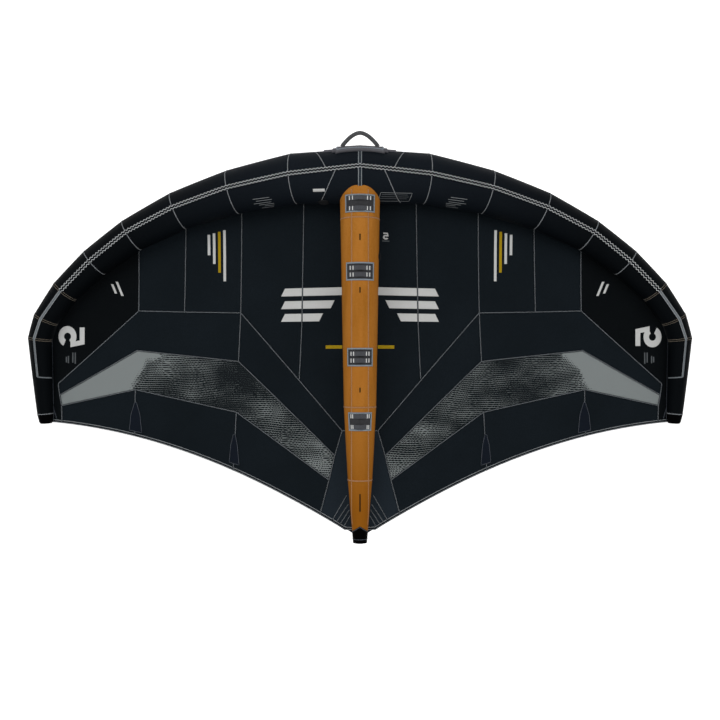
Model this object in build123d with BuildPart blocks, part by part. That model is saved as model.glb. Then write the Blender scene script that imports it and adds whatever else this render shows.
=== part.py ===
"""Inflatable hand-held wing for foil boards, lying on its back as it is laid down on a beach.

+X runs along the span, +Y towards the leading edge, +Z up from the ground to the rider's side.
The plane X = 0 is the plane of symmetry. Lengths are in millimetres, angles in degrees.
"""
import os
from math import cos, pi, radians, sin
from build123d import *

os.makedirs("parts", exist_ok=True)

# Leading-edge tube: one entry per panel, from the centre seam out to the tip
PANEL_LENGTHS = [313, 303, 283, 260, 230, 205, 169, 101, 368]  # in plan
PANEL_SWEEPS = [0, 10, 17.5, 26, 35, 43.5, 55, 73, 93]  # heading, aft of square
SEAM_RADII = [125, 118.5, 106, 94, 82.5, 74, 65, 59, 56, 37]
AXIS_HEIGHTS = [265, 212, 158, 121, 94]  # the seams further out rest on the ground
LEADING_AXIS_Y = 748  # fore-and-aft place of the tube's axis at the centre seam
TUBE_SIDES = 24  # flats round each tube, a multiple of four so that one corner is on top
TIP_CAP_LENGTH = 50
TIP_CAP_END_RADIUS = 30
CAP_WALL = 2
CAP_CHAMFER = 6

# Cloth
SLEEVE_WALL = 1.0
BLADDER_WALL = 0.8
LAYER_GAP = 0.3  # between layers, and where the canopy meets a tube
CANOPY_THICKNESS = 1.0

# Canopy surface, stretched from the leading-edge tube to the trailing edge
CANOPY_SINK = 0.66  # how far below the tube's axis the canopy meets it, as a share of the radius
TAIL_Y = -944
TAIL_HEIGHT = 354
TRAILING_KNEE_Y = -485  # control point of the trailing edge, halfway out
TIP_Y = -421
TIP_X = 1552
TIP_HEIGHT = 14
DROOP_POWER = 1.5
STATIONS = [0, 278, 585, 855, 1100, 1330, 1450, TIP_X]
CAMBERS = [0.006, 0.035, 0.050, 0.045, 0.035, 0.020, 0.010, 0.0]  # depth as a share of the chord
PROFILE_POINTS = 5

# Canopy seams of the right half in plan, from front to back; the ends run out past the cloth
OUT = 900
SEAM_A = [(268, OUT), (281, 55), (292, -213)]
SEAM_B = [(575, OUT), (587, 118), (596, -121), (602, -368), (615, -OUT)]
SEAM_C = [(850, OUT), (870, 124)]
SEAM_D = [(1088, OUT), (1100, 130), (1107, -67), (1113, -261), (1105, -OUT)]
WAIST = (84, -446)
WINDOW_FRONT = (118, -563)
WINDOW_BACK = (145, -677)
CENTRE_CORNER = (204, -OUT)
TIP_FRONT = (1502, -232)
TIP_WINDOW_FRONT = (1495, -288)
TIP_WINDOW_BACK = (1485, -341)
TIP_CORNER = (1465, -OUT)
BEYOND_TIP = 1700

# Strut: a tapered tube that lies on the canopy and runs into the leading edge
STRUT_SEAMS_Y = [708, 541, -329, -661, -949]
STRUT_RADII = [95, 91, 74, 56, 31]
TAIL_CAP_Y = -898
TAIL_CAP_SLANT = 37  # its edge leans forward at the top
STRUT_BLADDER_YS = [614, -864]  # its ends, behind the leading-edge tube and in front of the tail cap

# Handle stations on the strut: a patch with two sewn-down webbing loops
HANDLE_YS = [605, 291, -101, -393]
LOOP_SPACINGS = [48, 31, 31, 49]
PATCH_LENGTH = 84
PATCH_WRAP = 46  # each way from the top of the strut
PATCH_THICKNESS = 2
WEBBING_WIDTH = 20
WEBBING_THICKNESS = 1.6
LOOP_WRAP = 35
LOOP_OPEN_WRAP = 21
LOOP_LIFT = 9
LOOP_POINTS = 15

# Front handle, on a padded base at the nose of the leading edge
HANDLE_TILT = 20  # above square ahead
BASE_HALF_WIDTHS = [165, 125, 108]
BASE_WRAPS = [10, 21, 25]
BASE_THICKNESSES = [3, 10, 19]
GRIP_RADIUS = 9.5
GRIP_FEET_X = 85
GRIP_TOP_X = 30
GRIP_RISE = 52.5
GRIP_BEND = 30
RUNNING_GAP = 0.3

# Valves: a saddle welded to the tube, a neck through it and a cap that turns
VALVE_X = 165  # on the left half
VALVE_TILT = 15  # above square behind
VALVE_SADDLE_RADIUS = 34
VALVE_NECK_RADIUS = 18
VALVE_CAP_RADIUS = 23
STRUT_VALVE_Y = 366
STRUT_VALVE_SADDLE_RADIUS = 22
STRUT_VALVE_NECK_RADIUS = 12
STRUT_VALVE_CAP_RADIUS = 16.5
SADDLE_THICKNESS = 1.5
NECK_HEIGHT = 4
CAP_HEIGHT = 6
CAP_TOP = 2
CAP_TAB = 3
CAP_TAB_WIDTH = 5
CAP_FLUTES = 12
FLUTE_RADIUS = 1.5
HOLE_MARGIN = 0.5  # round a neck, in the sleeve


UP = Vector(0, 0, 1)
AHEAD = Vector(0, 1, 0)


def heading(sweep):
    """Unit vector in plan of a tube panel that sweeps aft by the given angle."""
    return Vector(cos(radians(sweep)), -sin(radians(sweep)), 0)


def seam_points():
    """Centres of the leading edge's seams, from the centre seam to the tip."""
    at = Vector(0, LEADING_AXIS_Y, 0)
    found = [at + Vector(0, 0, AXIS_HEIGHTS[0])]
    for i, (length, sweep) in enumerate(zip(PANEL_LENGTHS, PANEL_SWEEPS), start=1):
        at = at + heading(sweep) * length
        height = AXIS_HEIGHTS[i] if i < len(AXIS_HEIGHTS) else SEAM_RADII[i]
        found.append(at + Vector(0, 0, height))
    return found


SEAMS = seam_points()


def seam_plane(i):
    """Plane of seam i, which halves the angle between the panels that it joins."""
    if i == 0:
        return Plane(origin=SEAMS[0], x_dir=(0, 0, 1), z_dir=(1, 0, 0))
    along = (SEAMS[i] - SEAMS[i - 1]).normalized()
    if i + 1 < len(SEAMS):
        along = (along + (SEAMS[i + 1] - SEAMS[i]).normalized()).normalized()
    up = Vector(0, 0, 1) - along * along.Z
    return Plane(origin=SEAMS[i], x_dir=up, z_dir=along)


SEAM_PLANES = [seam_plane(i) for i in range(len(SEAMS))]
TIP_DIRECTION = heading(PANEL_SWEEPS[-1])
TIP_END = SEAMS[-1] + TIP_DIRECTION * TIP_CAP_LENGTH
TIP_END = Vector(TIP_END.X, TIP_END.Y, TIP_CAP_END_RADIUS)
TIP_END_PLANE = Plane(origin=TIP_END, x_dir=(0, 0, 1), z_dir=TIP_DIRECTION)


def tube_at(x):
    """Centre and radius of the leading-edge tube where it crosses a given half-span."""
    for inner, outer, r_in, r_out in zip(SEAMS, SEAMS[1:], SEAM_RADII, SEAM_RADII[1:]):
        if inner.X <= x <= outer.X:
            share = (x - inner.X) / (outer.X - inner.X)
            return inner + (outer - inner) * share, r_in + (r_out - r_in) * share
    raise ValueError(f"the tube doesn't reach {x} mm from the centre")


def solid_tube(planes, radii):
    """Solid of straight tapered runs between many-sided sections, one on each plane."""
    with BuildPart() as made:
        for plane, radius in zip(planes, radii):
            with BuildSketch(plane):
                RegularPolygon(radius, TUBE_SIDES)
        loft(ruled=True)
    return made.part


def side_reach(radius, angle):
    """Distance from a tube's axis to its side, at an angle from one of its corners."""
    half_flat = 180 / TUBE_SIDES
    return radius * cos(radians(half_flat)) / cos(radians(angle % (2 * half_flat) - half_flat))


def tube(planes, radii, wall):
    """The same, hollow and open at both ends."""
    outside = solid_tube(planes, radii)
    inside = solid_tube(planes, [radius - wall for radius in radii])
    with BuildPart() as made:
        add(outside)
        add(inside, mode=Mode.SUBTRACT)
    return made.part


def write(part, name):
    """Label a finished piece and write it out."""
    part.label = name
    export_step(part, f"parts/{name}.step")


def write_pair(part, name):
    """Write a piece of the right half and its mirror image on the left, as one group."""
    write(Compound(children=[part, part.mirror(Plane.YZ)]), name)


# Canopy surface

def trailing_y(x):
    """Fore-and-aft place of the trailing edge: a parabola through the tail and the tip."""
    share = x / TIP_X
    return (1 - share) ** 2 * TAIL_Y + 2 * share * (1 - share) * TRAILING_KNEE_Y + share**2 * TIP_Y


def canopy_point(x, share, camber):
    """Point of the canopy, a share of the way from the tube's axis to the trailing edge."""
    centre, radius = tube_at(x)
    chord = centre.Y - trailing_y(x)
    front = centre.Z - CANOPY_SINK * radius
    back = TIP_HEIGHT + (TAIL_HEIGHT - TIP_HEIGHT) * (1 - x / TIP_X) ** DROOP_POWER
    height = front + (back - front) * share - camber * chord * 4 * share * (1 - share)
    return Vector(x, centre.Y - chord * share, height)


def canopy_height(y):
    """Height of the canopy's upper side on the centre line."""
    return canopy_point(0, (LEADING_AXIS_Y - y) / (LEADING_AXIS_Y - TAIL_Y), CAMBERS[0]).Z


def canopy_half():
    """Right half of the canopy in one sheet, cut back to the leading-edge tube."""
    radii = [radius + LAYER_GAP for radius in SEAM_RADII + [TIP_CAP_END_RADIUS]]
    leading_edge = solid_tube(SEAM_PLANES + [TIP_END_PLANE], radii)
    with BuildPart() as made:
        for x, camber in zip(STATIONS, CAMBERS):
            points = [canopy_point(x, i / (PROFILE_POINTS - 1), camber) for i in range(PROFILE_POINTS)]
            top = [(point.Y, point.Z) for point in points]
            low = [(y, z - CANOPY_THICKNESS) for y, z in top]
            with BuildSketch(Plane.YZ.offset(x)):
                with BuildLine():
                    Spline(top)
                    Line(top[-1], low[-1])
                    Spline(low[::-1])
                    Line(low[0], top[0])
                make_face()
        loft()
        add(leading_edge, mode=Mode.SUBTRACT)
    return made.part


def cut_from(sheet, outline):
    """Piece of the sheet inside an outline in plan."""
    with BuildPart() as piece:
        add(sheet)
        with BuildSketch():
            with BuildLine():
                Polyline(outline, close=True)
            make_face()
        extrude(amount=OUT, mode=Mode.INTERSECT)
    return piece.part


def whole(half):
    """A piece of the right half joined to its mirror image."""
    with BuildPart() as piece:
        add(half)
        mirror(about=Plane.YZ)
    return piece.part


sheet = canopy_half()
write(whole(cut_from(sheet, [(0, OUT)] + SEAM_A + [WAIST, (0, WAIST[1])])), "canopy_front_centre")
rear_edge = [WAIST, WINDOW_FRONT, WINDOW_BACK, CENTRE_CORNER]
write(whole(cut_from(sheet, [(0, WAIST[1])] + rear_edge + [(0, -OUT)])), "canopy_rear_centre")
PANEL_OUTLINES = {
    "canopy_inner": SEAM_A + SEAM_B[1::-1],
    "canopy_mid": SEAM_B[:2] + SEAM_C[::-1],
    "canopy_outer": SEAM_C + SEAM_D[1::-1],
    "canopy_tip": SEAM_D[:2] + [TIP_FRONT, TIP_WINDOW_FRONT, TIP_WINDOW_BACK, TIP_CORNER,
                                (BEYOND_TIP, -OUT), (BEYOND_TIP, OUT)],
    "canopy_band_inner": [SEAM_B[1], SEAM_A[-1], WAIST, WINDOW_FRONT, SEAM_B[2]],
    "canopy_band_outer": [SEAM_B[1], SEAM_B[2], SEAM_D[2], TIP_WINDOW_FRONT, TIP_FRONT, SEAM_D[1],
                          SEAM_C[-1]],
    "window": [WINDOW_FRONT, SEAM_B[2], SEAM_D[2], TIP_WINDOW_FRONT, TIP_WINDOW_BACK, SEAM_D[3],
               SEAM_B[3], WINDOW_BACK],
    "canopy_rear_inner": [WINDOW_BACK, CENTRE_CORNER, SEAM_B[4], SEAM_B[3]],
    "canopy_rear_mid": [SEAM_B[3], SEAM_B[4], SEAM_D[4], SEAM_D[3]],
    "canopy_rear_outer": [SEAM_D[3], SEAM_D[4], TIP_CORNER, TIP_WINDOW_BACK],
}
for name, outline in PANEL_OUTLINES.items():
    write_pair(cut_from(sheet, outline), name)


# Leading edge

def closed_cap(planes, radii):
    """Moulded end cap of a tube: hollow, and closed at its second plane by a chamfered end."""
    start, end = planes
    shoulder = end.offset(-CAP_CHAMFER)
    radii = [*radii, radii[-1] - CAP_CHAMFER]
    outside = solid_tube([start, shoulder, end], radii)
    inside = solid_tube([start, shoulder, end.offset(-CAP_WALL)], [radius - CAP_WALL for radius in radii])
    with BuildPart() as cap:
        add(outside)
        add(inside, mode=Mode.SUBTRACT)
    return cap.part


def layer(planes, radii, low, high):
    """Hollow layer round a tube, between two distances from its surface."""
    return tube(planes, [radius + high for radius in radii], high - low)


def turned(angle, up, ahead):
    """Unit vector at an angle above square ahead, or behind, in the plane X = 0."""
    return up * sin(radians(angle)) + ahead * cos(radians(angle))


NOSE = (SEAM_PLANES[:2], SEAM_RADII[:2])
NOSE_AXIS = (SEAMS[1] - SEAMS[0]).normalized()
VALVE_CENTRE, VALVE_TUBE_RADIUS = tube_at(VALVE_X)
VALVE_AXIS = turned(VALVE_TILT, NOSE_AXIS.cross(AHEAD), -AHEAD)
VALVE_PLANE = Plane(origin=VALVE_CENTRE + VALVE_AXIS * VALVE_TUBE_RADIUS, x_dir=NOSE_AXIS, z_dir=VALVE_AXIS)

for i in range(len(PANEL_LENGTHS)):
    panel = tube(SEAM_PLANES[i:i + 2], SEAM_RADII[i:i + 2], SLEEVE_WALL)
    name = f"le_panel_{i + 1}"
    if i == 0:
        with BuildPart() as pierced:
            add(panel)
            with BuildSketch(VALVE_PLANE):
                Circle(VALVE_NECK_RADIUS + HOLE_MARGIN)
            extrude(amount=VALVE_NECK_RADIUS, both=True, mode=Mode.SUBTRACT)
        write(Compound(children=[panel, pierced.part.mirror(Plane.YZ)]), name)
    else:
        write_pair(panel, name)

write_pair(closed_cap([SEAM_PLANES[-1], TIP_END_PLANE], [SEAM_RADII[-1], TIP_CAP_END_RADIUS]), "tip_caps")


def bladder(planes, radii):
    """Air-tight tube inside a sleeve, closed at its far end."""
    radii = [radius - SLEEVE_WALL - LAYER_GAP for radius in radii]
    outside = solid_tube(planes, radii)
    inner_planes = planes[:-1] + [planes[-1].offset(-BLADDER_WALL)]
    inside = solid_tube(inner_planes, [radius - BLADDER_WALL for radius in radii])
    with BuildPart() as made:
        add(outside)
        add(inside, mode=Mode.SUBTRACT)
    return made.part


write(whole(bladder(SEAM_PLANES, SEAM_RADII)), "le_bladder")


# Strut

def strut_at(y):
    """Height of the strut's axis and its radius at a place along it."""
    stations = [(at, canopy_height(at) + LAYER_GAP + radius, radius)
                for at, radius in zip(STRUT_SEAMS_Y, STRUT_RADII)]
    for front, back in zip(stations, stations[1:]):
        if back[0] <= y <= front[0]:
            share = (front[0] - y) / (front[0] - back[0])
            return [a + (b - a) * share for a, b in zip(front, back)][1:]
    raise ValueError(f"the strut doesn't reach {y} mm")


def strut_plane(y):
    """Plane across the strut, with its normal aft and its second axis up."""
    return Plane(origin=(0, y, strut_at(y)[0]), x_dir=(1, 0, 0), z_dir=(0, -1, 0))


def strut_radius(y):
    """Radius of the strut at a place along it."""
    return strut_at(y)[1]


STRUT_PLANES = [strut_plane(y) for y in STRUT_SEAMS_Y]
slant = radians(TAIL_CAP_SLANT)
CAP_EDGE = Plane(origin=strut_plane(TAIL_CAP_Y).origin, x_dir=(1, 0, 0), z_dir=(0, -cos(slant), sin(slant)))
STRUT_VALVE_PLANE = Plane(origin=strut_plane(STRUT_VALVE_Y).origin + Vector(strut_radius(STRUT_VALVE_Y), 0, 0),
                          x_dir=(0, 1, 0), z_dir=(1, 0, 0))

panels = [tube(STRUT_PLANES[i:i + 2], STRUT_RADII[i:i + 2], SLEEVE_WALL) for i in range(4)]
nose_envelope = whole(solid_tube(SEAM_PLANES[:2], [radius + LAYER_GAP for radius in SEAM_RADII[:2]]))
with BuildPart() as strut_head:
    add(panels[0])
    add(nose_envelope, mode=Mode.SUBTRACT)
write(strut_head.part, "strut_head")

with BuildPart() as strut_front:
    add(panels[1])
    with BuildSketch(STRUT_VALVE_PLANE):
        Circle(STRUT_VALVE_NECK_RADIUS + HOLE_MARGIN)
    extrude(amount=STRUT_VALVE_NECK_RADIUS, both=True, mode=Mode.SUBTRACT)
write(strut_front.part, "strut_front")

write(panels[2], "strut_rear")

with BuildPart() as strut_tail:
    add(panels[3])
    split(bisect_by=CAP_EDGE, keep=Keep.BOTTOM)
write(strut_tail.part, "strut_tail")

long_cap = closed_cap(STRUT_PLANES[3:], STRUT_RADII[3:])
with BuildPart() as tail_cap:
    add(long_cap)
    split(bisect_by=CAP_EDGE, keep=Keep.TOP)
write(tail_cap.part, "tail_cap")

bladder_front, bladder_back = STRUT_BLADDER_YS
bladder_planes = [strut_plane(bladder_front)] + STRUT_PLANES[1:4] + [strut_plane(bladder_back)]
bladder_radii = [strut_radius(bladder_front)] + STRUT_RADII[1:4] + [strut_radius(bladder_back)]
write(bladder(bladder_planes, bladder_radii), "strut_bladder")


# Handle stations on the strut

def sector(wrap, reach):
    """Outline of a sector with its point on the axis, symmetric about the second axis."""
    side = (reach * sin(radians(wrap)), reach * cos(radians(wrap)))
    return [(0, 0), side, (0, 2 * reach), (-side[0], side[1])]


def loop_profile(y):
    """Closed outline of a webbing loop across the strut: its ends lie down and its middle stands off."""
    foot = strut_radius(y) + 2 * LAYER_GAP + PATCH_THICKNESS
    low, high = [], []
    for k in range(LOOP_POINTS):
        angle = LOOP_WRAP * (2 * k / (LOOP_POINTS - 1) - 1)
        lift = LOOP_LIFT * cos(pi / 2 * angle / LOOP_OPEN_WRAP) ** 2 if abs(angle) < LOOP_OPEN_WRAP else 0
        across, up = sin(radians(angle)), cos(radians(angle))
        low.append(((foot + lift) * across, (foot + lift) * up))
        high.append(((foot + lift + WEBBING_THICKNESS) * across, (foot + lift + WEBBING_THICKNESS) * up))
    with BuildSketch(strut_plane(y)) as profile:
        with BuildLine():
            Spline(low)
            Line(low[-1], high[-1])
            Spline(high[::-1])
            Line(high[0], low[0])
        make_face()
    return profile.sketch


def webbing_loops(y, spacing):
    """Pair of webbing loops, one behind the other."""
    middles = (y + spacing / 2, y - spacing / 2)
    ends = [[loop_profile(middle + side * WEBBING_WIDTH / 2) for side in (1, -1)] for middle in middles]
    with BuildPart() as loops:
        for pair in ends:
            loft(pair)
    return loops.part


def wedge_of(part, plane, wrap, reach, length):
    """Piece of a round part inside a wedge that runs along its axis from a plane."""
    with BuildPart() as piece:
        add(part)
        with BuildSketch(plane):
            with BuildLine():
                Polyline(sector(wrap, reach), close=True)
            make_face()
        extrude(amount=length, mode=Mode.INTERSECT)
    return piece.part


strut_layer = layer(STRUT_PLANES, STRUT_RADII, LAYER_GAP, LAYER_GAP + PATCH_THICKNESS)
patches = [wedge_of(strut_layer, strut_plane(y + PATCH_LENGTH / 2), PATCH_WRAP, 2 * STRUT_RADII[0],
                    PATCH_LENGTH) for y in HANDLE_YS]
with BuildPart() as handle_patches:
    add(patches)
write(handle_patches.part, "handle_patches")

for i, (y, spacing) in enumerate(zip(HANDLE_YS, LOOP_SPACINGS), start=1):
    write(webbing_loops(y, spacing), f"handle_loops_{i}")


# Front handle

HANDLE_DIRECTION = turned(HANDLE_TILT, UP, AHEAD)
BASE_PLANE = Plane(origin=SEAMS[0], x_dir=HANDLE_DIRECTION.cross(Vector(1, 0, 0)), z_dir=(1, 0, 0))
feet_centre, feet_radius = tube_at(GRIP_FEET_X)
GRIP_PLANE = Plane(origin=(0, feet_centre.Y, feet_centre.Z), x_dir=(1, 0, 0),
                   z_dir=Vector(1, 0, 0).cross(HANDLE_DIRECTION))
BASE_TOP = side_reach(feet_radius + LAYER_GAP + BASE_THICKNESSES[-1], HANDLE_TILT)
GRIP_FOOT = BASE_TOP + RUNNING_GAP + GRIP_RADIUS

base_layers = [wedge_of(layer(*NOSE, LAYER_GAP, LAYER_GAP + thickness), BASE_PLANE, wrap,
                        2 * SEAM_RADII[0], half_width)
               for half_width, wrap, thickness in zip(BASE_HALF_WIDTHS, BASE_WRAPS, BASE_THICKNESSES)]
with BuildPart() as base_half:
    add(base_layers)
write(whole(base_half.part), "front_handle_base")

with BuildPart() as grip:
    with BuildLine(GRIP_PLANE):
        corners = [(-GRIP_FEET_X, GRIP_FOOT), (-GRIP_TOP_X, GRIP_FOOT + GRIP_RISE),
                   (GRIP_TOP_X, GRIP_FOOT + GRIP_RISE), (GRIP_FEET_X, GRIP_FOOT)]
        path = FilletPolyline(*corners, radius=GRIP_BEND)
    with BuildSketch(Plane(origin=path @ 0, z_dir=path % 0)):
        Circle(GRIP_RADIUS)
    sweep()
    for foot in (corners[0], corners[-1]):
        with Locations(GRIP_PLANE.from_local_coords(Vector(*foot))):
            Sphere(GRIP_RADIUS)
write(grip.part, "front_handle_grip")


# Valves

def valve(plane, planes, radii, saddle_radius, neck_radius):
    """Fixed part of a valve: a thin saddle that follows the tube, and the neck through it."""
    skin = layer(planes, radii, LAYER_GAP, LAYER_GAP + SADDLE_THICKNESS)
    with BuildPart() as body:
        add(skin)
        with BuildSketch(plane):
            Circle(saddle_radius)
        extrude(amount=saddle_radius, both=True, mode=Mode.INTERSECT)
        with BuildSketch(plane.offset(-SLEEVE_WALL / 2)):
            Circle(neck_radius)
        extrude(amount=SLEEVE_WALL / 2 + LAYER_GAP + SADDLE_THICKNESS + NECK_HEIGHT)
    return body.part


def valve_cap(plane, neck_radius, cap_radius):
    """Cap over the neck, with a fluted rim and a tab to turn it by."""
    neck_top = LAYER_GAP + SADDLE_THICKNESS + NECK_HEIGHT
    top = neck_top + RUNNING_GAP + CAP_TOP
    with BuildPart() as cap:
        with BuildSketch(plane.offset(top - CAP_HEIGHT)):
            Circle(cap_radius)
            with PolarLocations(cap_radius, CAP_FLUTES):
                Circle(FLUTE_RADIUS, mode=Mode.SUBTRACT)
        extrude(amount=CAP_HEIGHT)
        with BuildSketch(plane.offset(top - CAP_HEIGHT)):
            Circle(neck_radius + RUNNING_GAP)
        extrude(amount=CAP_HEIGHT - CAP_TOP, mode=Mode.SUBTRACT)
        with BuildSketch(plane.offset(top)):
            SlotOverall(2 * neck_radius, CAP_TAB_WIDTH)
        extrude(amount=CAP_TAB)
    return cap.part


body = valve(VALVE_PLANE, *NOSE, VALVE_SADDLE_RADIUS, VALVE_NECK_RADIUS)
write(body.mirror(Plane.YZ), "inflation_valve")
cap = valve_cap(VALVE_PLANE, VALVE_NECK_RADIUS, VALVE_CAP_RADIUS)
write(cap.mirror(Plane.YZ), "inflation_valve_cap")
body = valve(STRUT_VALVE_PLANE, STRUT_PLANES[1:3], STRUT_RADII[1:3], STRUT_VALVE_SADDLE_RADIUS,
             STRUT_VALVE_NECK_RADIUS)
write(body, "strut_valve")
write(valve_cap(STRUT_VALVE_PLANE, STRUT_VALVE_NECK_RADIUS, STRUT_VALVE_CAP_RADIUS), "strut_valve_cap")
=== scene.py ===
"""Inflatable hand-held wing lying on its back: cloth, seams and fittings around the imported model.

Lengths are in metres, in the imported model's frame: +X along the span, +Y towards the leading edge, +Z up.
"""
import math

import bmesh
import bpy
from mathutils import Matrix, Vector, geometry, kdtree, noise
from mathutils.bvhtree import BVHTree


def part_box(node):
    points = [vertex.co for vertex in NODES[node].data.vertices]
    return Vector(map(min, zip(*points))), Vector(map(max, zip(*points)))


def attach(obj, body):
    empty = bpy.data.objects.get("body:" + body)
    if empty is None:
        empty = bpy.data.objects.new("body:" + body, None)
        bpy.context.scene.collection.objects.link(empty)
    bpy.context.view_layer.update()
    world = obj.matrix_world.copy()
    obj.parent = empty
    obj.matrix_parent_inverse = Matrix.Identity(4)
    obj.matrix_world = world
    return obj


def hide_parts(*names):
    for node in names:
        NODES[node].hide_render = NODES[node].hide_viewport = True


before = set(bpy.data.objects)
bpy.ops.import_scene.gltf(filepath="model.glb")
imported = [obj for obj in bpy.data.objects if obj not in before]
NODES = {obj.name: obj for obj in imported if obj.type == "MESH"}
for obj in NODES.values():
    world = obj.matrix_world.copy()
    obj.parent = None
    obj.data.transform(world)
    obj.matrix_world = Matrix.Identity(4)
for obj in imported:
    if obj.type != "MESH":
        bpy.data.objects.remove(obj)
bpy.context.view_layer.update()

bl_info = {
    "name": "Inflatable wing",
    "version": (1, 0, 0),
    "blender": (4, 5, 0),
    "location": "3D View > Sidebar > Wing",
    "description": "Cloth, seams, handles and stage of an inflatable hand-held wing",
    "category": "Object",
}

UP = Vector((0, 0, 1))
NEAR = 0.0002
PANEL_COUNT = sum(name.startswith("le_panel_") for name in NODES)
STRUT_NODES = ["strut_head", "strut_front", "strut_rear", "strut_tail"]
CANOPY_NODES = sorted(name for name in NODES if name.startswith("canopy_")) + ["window"]
LOOP_NODES = sorted(name for name in NODES if name.startswith("handle_loops_"))


# Reading the frame

def corners_of(node, side=0):
    """Distinct corners of a node; side 1 or -1 keeps one half of the span."""
    found = {}
    for vertex in NODES[node].data.vertices:
        if vertex.co.x * side >= -NEAR:
            found[tuple(round(value / NEAR) for value in vertex.co)] = vertex.co.copy()
    return list(found.values())


def shared_corners(node, other, side=0):
    """Corners that two neighbouring nodes have in common."""
    others = corners_of(other, side)
    tree = kdtree.KDTree(len(others))
    for index, point in enumerate(others):
        tree.insert(point, index)
    tree.balance()
    return [point for point in corners_of(node, side) if tree.find(point)[2] < NEAR]


class Ring:
    """Circle round a tube, with its top and its side for measuring angles."""

    def __init__(self, centre, radius, along):
        self.centre = centre
        self.radius = radius
        self.along = along.normalized()
        self.top = (UP - self.along * self.along.z).normalized()
        self.side = self.along.cross(self.top)

    def point(self, angle, lift=0.0):
        """Point at an angle from the top, in radians, lifted off the surface."""
        arm = self.top * math.cos(angle) + self.side * math.sin(angle)
        return self.centre + arm * (self.radius + lift)


def ring_through(points, towards):
    """Ring through the outermost of some points that lie in one plane."""
    centre = sum(points, Vector((0, 0, 0))) / len(points)
    radius = max((point - centre).length for point in points)
    rim = [point - centre for point in points if (point - centre).length > radius - 2 * NEAR]
    along = rim[0].cross(max(rim, key=lambda arm: rim[0].cross(arm).length))
    return Ring(centre, radius, along if along.dot(towards) > 0 else -along)


def leading_rings():
    """Seams of the right half of the leading edge, from the centre out to the tip cap."""
    names = [f"le_panel_{i + 1}" for i in range(PANEL_COUNT)] + ["tip_caps"]
    middle = [point for point in corners_of(names[0], 1) if abs(point.x) < NEAR]
    rings = [ring_through(middle, Vector((1, 0, 0)))]
    for node, other in zip(names, names[1:]):
        points = shared_corners(node, other, 1)
        centre = sum(points, Vector((0, 0, 0))) / len(points)
        rings.append(ring_through(points, centre - rings[-1].centre))
    return rings


def strut_rings():
    """Seams of the strut from inside the leading edge to the tail cap's end."""
    aft = Vector((0, -1, 0))
    rings = [ring_through(shared_corners(a, b), aft) for a, b in zip(STRUT_NODES, STRUT_NODES[1:])]
    front, back = rings[0], rings[1]
    reach = (LEADING[0].centre.y - INSIDE_LEADING_EDGE - front.centre.y) / (front.centre.y - back.centre.y)
    head = Ring(front.centre + (front.centre - back.centre) * reach,
                front.radius + (front.radius - back.radius) * reach, aft)
    head.centre.z = min(head.centre.z, LEADING[0].centre.z + LEADING[0].radius - head.radius - CLEAR_OF_TOP)
    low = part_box("tail_cap")[0]
    last = [point for point in corners_of("tail_cap") if point.y < low.y + NEAR]
    end = ring_through(last, aft)
    seam = end.centre.y
    shoulder = [point for point in corners_of("tail_cap") if seam + NEAR < point.y < seam + SHOULDER_REACH]
    end.radius = max(abs(point.x) for point in shoulder)
    return [head] + rings + [end]


INSIDE_LEADING_EDGE = 0.010
CLEAR_OF_TOP = 0.004
SHOULDER_REACH = 0.012  # from a cap's end to beyond the start of its rounding
LEADING = leading_rings()
STRUT = strut_rings()


def between(rings, place, angle, lift=0.0):
    """Point on a tube: place 1.5 is halfway from its second ring to its third."""
    index = min(int(place), len(rings) - 2)
    share = place - index
    return rings[index].point(angle, lift).lerp(rings[index + 1].point(angle, lift), share)


def tube_spot(rings, place, angle, lift=0.0):
    """Point on a tube and the normal there."""
    low, high = between(rings, place, angle, lift), between(rings, place, angle, lift + 1)
    return low, (high - low).normalized()


def mirror(point):
    """Mirror image of a point in the plane of symmetry."""
    return Vector((-point.x, point.y, point.z))


def strut_place(y):
    """Place on the strut whose axis is at a given fore-and-aft position."""
    for index, (front, back) in enumerate(zip(STRUT, STRUT[1:])):
        if back.centre.y <= y <= front.centre.y:
            return index + (front.centre.y - y) / (front.centre.y - back.centre.y)
    raise ValueError(f"the strut does not reach {y}")


def strut_width(place):
    """Width of the strut at a place."""
    return between(STRUT, place, 0.0).z - between(STRUT, place, math.pi).z


def surface_of(node):
    """Search tree over the faces of a CAD node."""
    mesh = NODES[node].data
    return BVHTree.FromPolygons([vertex.co for vertex in mesh.vertices],
                                [list(face.vertices) for face in mesh.polygons])


# Meshes

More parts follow.
